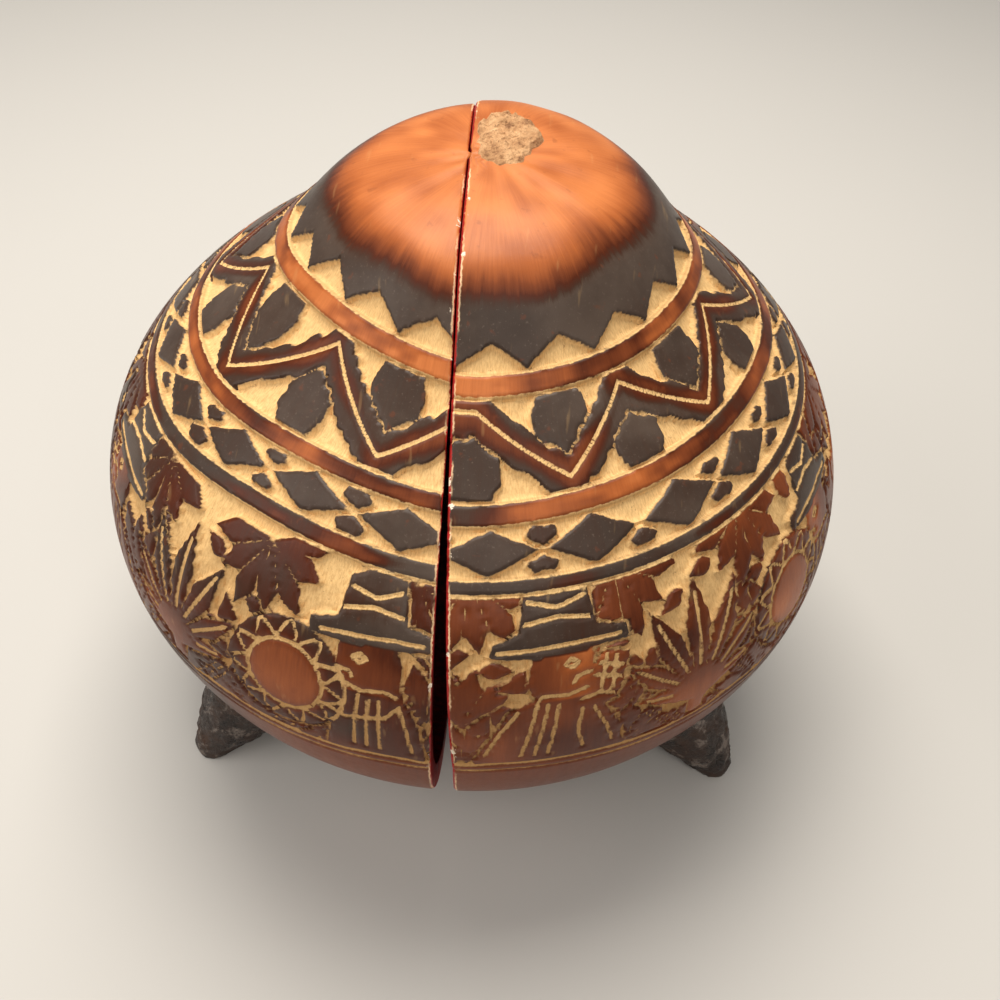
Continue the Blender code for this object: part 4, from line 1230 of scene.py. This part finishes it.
def thread_material():
    """Waxed pale thread."""
    nodes = Nodes("waxed_thread")
    twist = nodes.noise(2600, 3, 0.6)
    colour = nodes.mix(nodes.band(twist, 0.35, 0.65), THREAD_SHADE, THREAD)
    return nodes.surface(colour, nodes.band(twist, 0.3, 0.7, 0.5, 0.7), twist, 0.4, 0.0002)


def floor_material():
    """A pale plain floor, faintly clouded."""
    nodes = Nodes("pale_floor")
    cloud = nodes.noise(9, 3, 0.5)
    colour = nodes.mix(nodes.band(cloud, 0.2, 0.8, 0.0, 0.12), FLOOR, FLOOR_SHADE)
    nodes.link(colour, nodes.shader.inputs["Base Color"])
    nodes.link(nodes.band(cloud, 0.2, 0.8, 0.80, 0.90), nodes.shader.inputs["Roughness"])
    return nodes.material


def scar_rim(turn):
    """The scar's ragged outline: how far it goes along x and y at an angle round its middle."""
    ragged = 1 + 0.09 * math.sin(3 * turn + 0.6) + 0.06 * math.sin(5 * turn + 1)
    ragged += 0.035 * math.sin(11 * turn + 2) + 0.025 * math.sin(17 * turn)
    # it is broad in front and narrow behind
    narrow = 1 - 0.30 * float(ease((math.sin(turn) + 0.2) / 1.2))
    x = SCAR_HALF_WIDE * ragged * narrow * math.cos(turn)
    y = SCAR_HALF_DEEP * ragged * math.sin(turn)
    return x, y


def make_scar():
    """The corky pad where the stem was, lumpy and ragged, sunk into the dome at its rim."""
    rings, spokes = 40, 120
    layers = []
    for ring in range(rings + 1):
        share = ring / rings
        row = []
        for spoke in range(spokes):
            rim_x, rim_y = scar_rim(2 * math.pi * spoke / spokes)
            # it stays on its own half, clear of the saw cut
            x = max(SCAR_X + rim_x * share, SEAM_X + SAW_KERF / 2 + 0.12 + 0.05 * share)
            y = SCAR_Y + rim_y * share
            row.append((x, y, dome_height(x, y) + scar_rise(x, y, share)))
        layers.append(row)
    layers.append([(x, y, dome_height(x, y) - 0.9) for x, y, _ in layers[-1]])
    mesh = bmesh.new()
    centre = mesh.verts.new(Vector(layers[0][0]) * MM)
    verts = [[mesh.verts.new(Vector(point) * MM) for point in row] for row in layers[1:]]
    for upper, lower in zip(verts, verts[1:]):
        for spoke in range(spokes):
            after = (spoke + 1) % spokes
            mesh.faces.new((upper[spoke], lower[spoke], lower[after], upper[after]))
    for spoke in range(spokes):
        mesh.faces.new((centre, verts[0][spoke], verts[0][(spoke + 1) % spokes]))
    mesh.faces.new(verts[-1][::-1])
    bmesh.ops.recalc_face_normals(mesh, faces=mesh.faces)
    return as_object("stem_scar", mesh)


def dome_height(x, y):
    """The height of the right half's dome at a place near its top."""
    off_x, off_y = lean(109.0)
    high = HEIGHT > 90
    away = math.hypot(x - off_x, y - off_y)
    plain = float(np.interp(away, RADIUS[high][::-1], HEIGHT[high][::-1]))
    return plain + PROUD - SKIN_SUNK + float(top_lift(x, y))


def scar_rise(x, y, share):
    """How far the cork stands up: a dished pad with a lumpy top and a ragged rim."""
    lumps = (0.40 * float(noise(x * 0.5, y * 0.5, 31))
             + 0.20 * float(noise(x * 1.7, y * 1.7, 32))
             + 0.14 * float(noise(x * 4.1, y * 4.1, 33)))
    fall = float(ease((1 - share) / 0.16))
    return (SCAR_HEIGHT * 0.70 + lumps) * fall - 0.22 * (1 - fall)


def make_foot(node, seed):
    """One foot: its solid's own surface, split fine and weathered like rough stone."""
    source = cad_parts[node]
    mesh = bmesh.new()
    mesh.from_mesh(source.data)
    mesh.transform(source.matrix_world)
    bmesh.ops.remove_doubles(mesh, verts=mesh.verts, dist=0.00002)
    data = bpy.data.meshes.new(node + "_stone")
    mesh.to_mesh(data)
    mesh.free()
    item = bpy.data.objects.new(node + "_stone", data)
    bpy.context.scene.collection.objects.link(item)
    remesh = item.modifiers.new("fine", "REMESH")
    remesh.mode = "VOXEL"
    remesh.voxel_size = FOOT_VOXEL
    data = bpy.data.meshes.new_from_object(item.evaluated_get(
        bpy.context.evaluated_depsgraph_get()))
    item.modifiers.clear()
    item.data = data
    weather(data, seed)
    data.shade_smooth()
    return item


def weather(data, seed):
    """Broaden a foot's tip towards the gourd's middle, and chip its surface like rough stone."""
    places = np.empty(len(data.vertices) * 3)
    data.vertices.foreach_get("co", places)
    places = places.reshape(-1, 3) / MM
    normals = np.empty(len(data.vertices) * 3)
    data.vertices.foreach_get("normal", normals)
    normals = normals.reshape(-1, 3)
    tip = places[places[:, 2] < 0.6].mean(axis=0)[:2]
    out = tip / np.hypot(*tip)
    across = np.array([-out[1], out[0]])
    away, aside = (places[:, :2] - tip) @ out, (places[:, :2] - tip) @ across
    low = np.clip(1 - places[:, 2] / FOOT_BROAD_BELOW, 0, 1)
    inwards = low * FOOT_BROADER_IN * ease(-away / 2.5)
    aside *= 1 + low * FOOT_BROADER_ASIDE
    # the broader tip stays below the gourd's skin
    reach_out = np.hypot(*(tip + away[:, None] * out).T)
    skin = np.interp(places[:, 2], HEIGHT[:1500], RADIUS[:1500]) + 0.5
    inwards = np.clip(np.minimum(inwards, reach_out - skin), 0, None)
    places[:, :2] = tip + (away - inwards)[:, None] * out + aside[:, None] * across
    x, y, z = places.T
    chips = (0.55 * np.abs(noise(x * 0.42 + z * 0.25, y * 0.42 - z * 0.33, seed))
             + 0.35 * np.abs(noise(x * 0.95 - z * 0.6, y * 0.95 + z * 0.5, seed + 1))
             + 0.16 * noise(x * 2.3 + z * 1.1, y * 2.3 - z * 1.7, seed + 2))
    keep = ease((z - 0.1) / 0.8)
    places -= normals * (chips * keep)[:, None]
    data.vertices.foreach_set("co", (places * MM).reshape(-1))


def strap_point(s, z, lift):
    """A place on the strap: s to the right of the cut, seen from the front, and z up."""
    radius = float(np.interp(reach_at(z), REACH, RADIUS)) + lift
    turn = math.pi - (s + SEAM_X) / radius
    return Vector((radius * math.sin(turn), GOURD_Y - radius * math.cos(turn), z)) * MM


def strap_outline():
    """The strap's grid of places, drawn in at its rounded corners."""
    middle, half = (STRAP_HIGH + STRAP_LOW) / 2, (STRAP_HIGH - STRAP_LOW) / 2
    rows = []
    for z in np.linspace(-1, 1, STRAP_ROWS + 1):
        row = []
        for s in np.linspace(-STRAP_WIDE, STRAP_WIDE, STRAP_COLUMNS + 1):
            corner = max(0.0, abs(s) - (STRAP_WIDE - STRAP_CORNER)) / STRAP_CORNER
            tall = half - STRAP_CORNER * (1 - math.sqrt(max(0.0, 1 - corner ** 2)))
            row.append((s, middle + z * tall))
        rows.append(row)
    return rows


def make_strap():
    """The leather strap over the back seam: one piece, creased at the cut, stitched."""
    mesh = bmesh.new()
    sheets = []
    for lift in (STRAP_GAP, STRAP_GAP + STRAP_THICK):
        sheet = []
        for row in strap_outline():
            line = []
            for s, z in row:
                high = lift
                if lift > STRAP_GAP:
                    edge = min(STRAP_WIDE - abs(s), z - STRAP_LOW, STRAP_HIGH - z)
                    high -= STRAP_EDGE_FALL * float(ease(1 - edge / 0.9))
                    high -= STRAP_CREASE * math.exp(-(s / 0.9) ** 2)
                    high += 0.07 * float(noise(s * 0.6, z * 0.6, 51))
                line.append(mesh.verts.new(strap_point(s, z, high)))
            sheet.append(line)
        for below, above in zip(sheet, sheet[1:]):
            for i in range(STRAP_COLUMNS):
                mesh.faces.new((below[i], below[i + 1], above[i + 1], above[i]))
        sheets.append(sheet)
    inner, outer = border_of(sheets[0]), border_of(sheets[1])
    for k in range(len(inner)):
        after = (k + 1) % len(inner)
        mesh.faces.new((inner[k], inner[after], outer[after], outer[k]))
    for s, z, upright in stitch_places():
        add_stitch(mesh, s, z, upright)
    bmesh.ops.recalc_face_normals(mesh, faces=mesh.faces)
    return as_object("hinge_strap", mesh)


def stitch_places():
    """Where the stitches are: a line of them on each wing, inside its edge."""
    inset = STRAP_WIDE - STITCH_INSET
    middle, half = (STRAP_HIGH + STRAP_LOW) / 2, (STRAP_HIGH - STRAP_LOW) / 2 - STITCH_INSET
    places = []
    for s in np.arange(3.0, inset - 1.0, STITCH_PITCH):
        for side in (-1, 1):
            places += [(side * s, middle + half, False), (side * s, middle - half, False)]
    for z in np.arange(-half + 1.4, half - 1.0, STITCH_PITCH):
        places += [(-inset, middle + z, True), (inset, middle + z, True)]
    return places


def add_stitch(mesh, s, z, upright):
    """One short thick thread, with sloping ends."""
    long, wide = STITCH_LONG / 2, STITCH_THICK / 2
    top, root = STRAP_GAP + STRAP_THICK + 0.24, STRAP_GAP + STRAP_THICK - 0.45
    rings = []
    for along, high in ((-long, root), (-long * 0.62, top), (long * 0.62, top), (long, root)):
        ring = []
        for across, drop in ((-wide, 0.5), (-wide * 0.6, 0), (wide * 0.6, 0), (wide, 0.5)):
            off = (across, along) if upright else (along, across)
            ring.append(mesh.verts.new(strap_point(s + off[0], z + off[1], high - drop * 0.3)))
        rings.append(ring)
    faces = [mesh.faces.new(rings[0][::-1]), mesh.faces.new(rings[-1])]
    for before, after in zip(rings, rings[1:]):
        for i in range(4):
            j = (i + 1) % 4
            faces.append(mesh.faces.new((before[i], before[j], after[j], after[i])))
    for face in faces:
        face.material_index = 1


def border_of(grid):
    """The points round the edge of a grid, in order."""
    return (grid[0] + [row[-1] for row in grid[1:-1]] + grid[-1][::-1]
            + [row[0] for row in grid[1:-1]][::-1])


def place_camera():
    """The photograph's camera."""
    data = bpy.data.cameras.new("camera")
    data.lens = LENS
    data.sensor_width = SENSOR
    data.clip_start = 0.005
    camera = bpy.data.objects.new("camera", data)
    axes = Matrix((CAMERA_RIGHT, CAMERA_UP, [-part for part in CAMERA_AHEAD])).transposed()
    camera.matrix_world = Matrix.Translation(CAMERA_AT) @ axes.to_4x4()
    bpy.context.scene.collection.objects.link(camera)
    bpy.context.scene.camera = camera


def soft_light(name, place, size, power, colour):
    """One soft box, aimed at the gourd."""
    data = bpy.data.lights.new(name, "AREA")
    data.energy = power
    data.size = size
    data.color = colour
    light = bpy.data.objects.new(name, data)
    light.location = place
    light.rotation_euler = (Vector(LIGHTS_AIM) - Vector(place)).to_track_quat("-Z", "Y").to_euler()
    bpy.context.scene.collection.objects.link(light)


def light_studio():
    """Soft light from above and behind, a gentle fill in front and a pale world."""
    for name, place, size, power, colour in LIGHTS:
        soft_light(name, place, size, power, colour)
    world = bpy.data.worlds.new("studio")
    world.use_nodes = True
    background = world.node_tree.nodes["Background"]
    background.inputs["Color"].default_value = WORLD_COLOUR
    background.inputs["Strength"].default_value = WORLD_STRENGTH
    bpy.context.scene.world = world
    bpy.context.scene.view_settings.view_transform = "Standard"


def make_floor():
    """The pale plain floor, a hair below the feet."""
    mesh = bmesh.new()
    bmesh.ops.create_grid(mesh, x_segments=8, y_segments=8, size=1.5)
    floor = as_object("floor", mesh)
    floor.location.z = -0.0002
    floor.data.materials.append(floor_material())


def dress(item, materials, body, slot, *nodes):
    """Give a piece its materials and body, and hide the solids that it stands for; its slot is not
    used.
    """
    for material in materials:
        item.data.materials.append(material)
    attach(item, body)
    if nodes:
        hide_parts(*nodes)


SKIN = gourd_material()
PAINT = paint_material()
STONE_SKIN = stone_material()
for half, body in (("left", "left_half"), ("right", "right_half")):
    shell = half_mesh("carved_half_" + half, CARVING[half])
    dress(shell, [SKIN, PAINT], body, "gourd", "gourd_half_" + half)
    shell.data.set_sharp_from_angle(angle=math.radians(50))
dress(make_scar(), [cork_material()], "right_half", "gourd")
for foot_seed, (foot_node, foot_body) in enumerate((
        ("foot_left", "left_half"), ("foot_right", "right_half"), ("foot_back", "left_half"))):
    dress(make_foot(foot_node, 40 + foot_seed), [STONE_SKIN], foot_body, "foot", foot_node)
strap = make_strap()
strap.data.materials.append(leather_material())
strap.data.materials.append(thread_material())
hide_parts("hinge_strap_left", "hinge_strap_right")
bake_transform(strap)

make_floor()
light_studio()
place_camera()
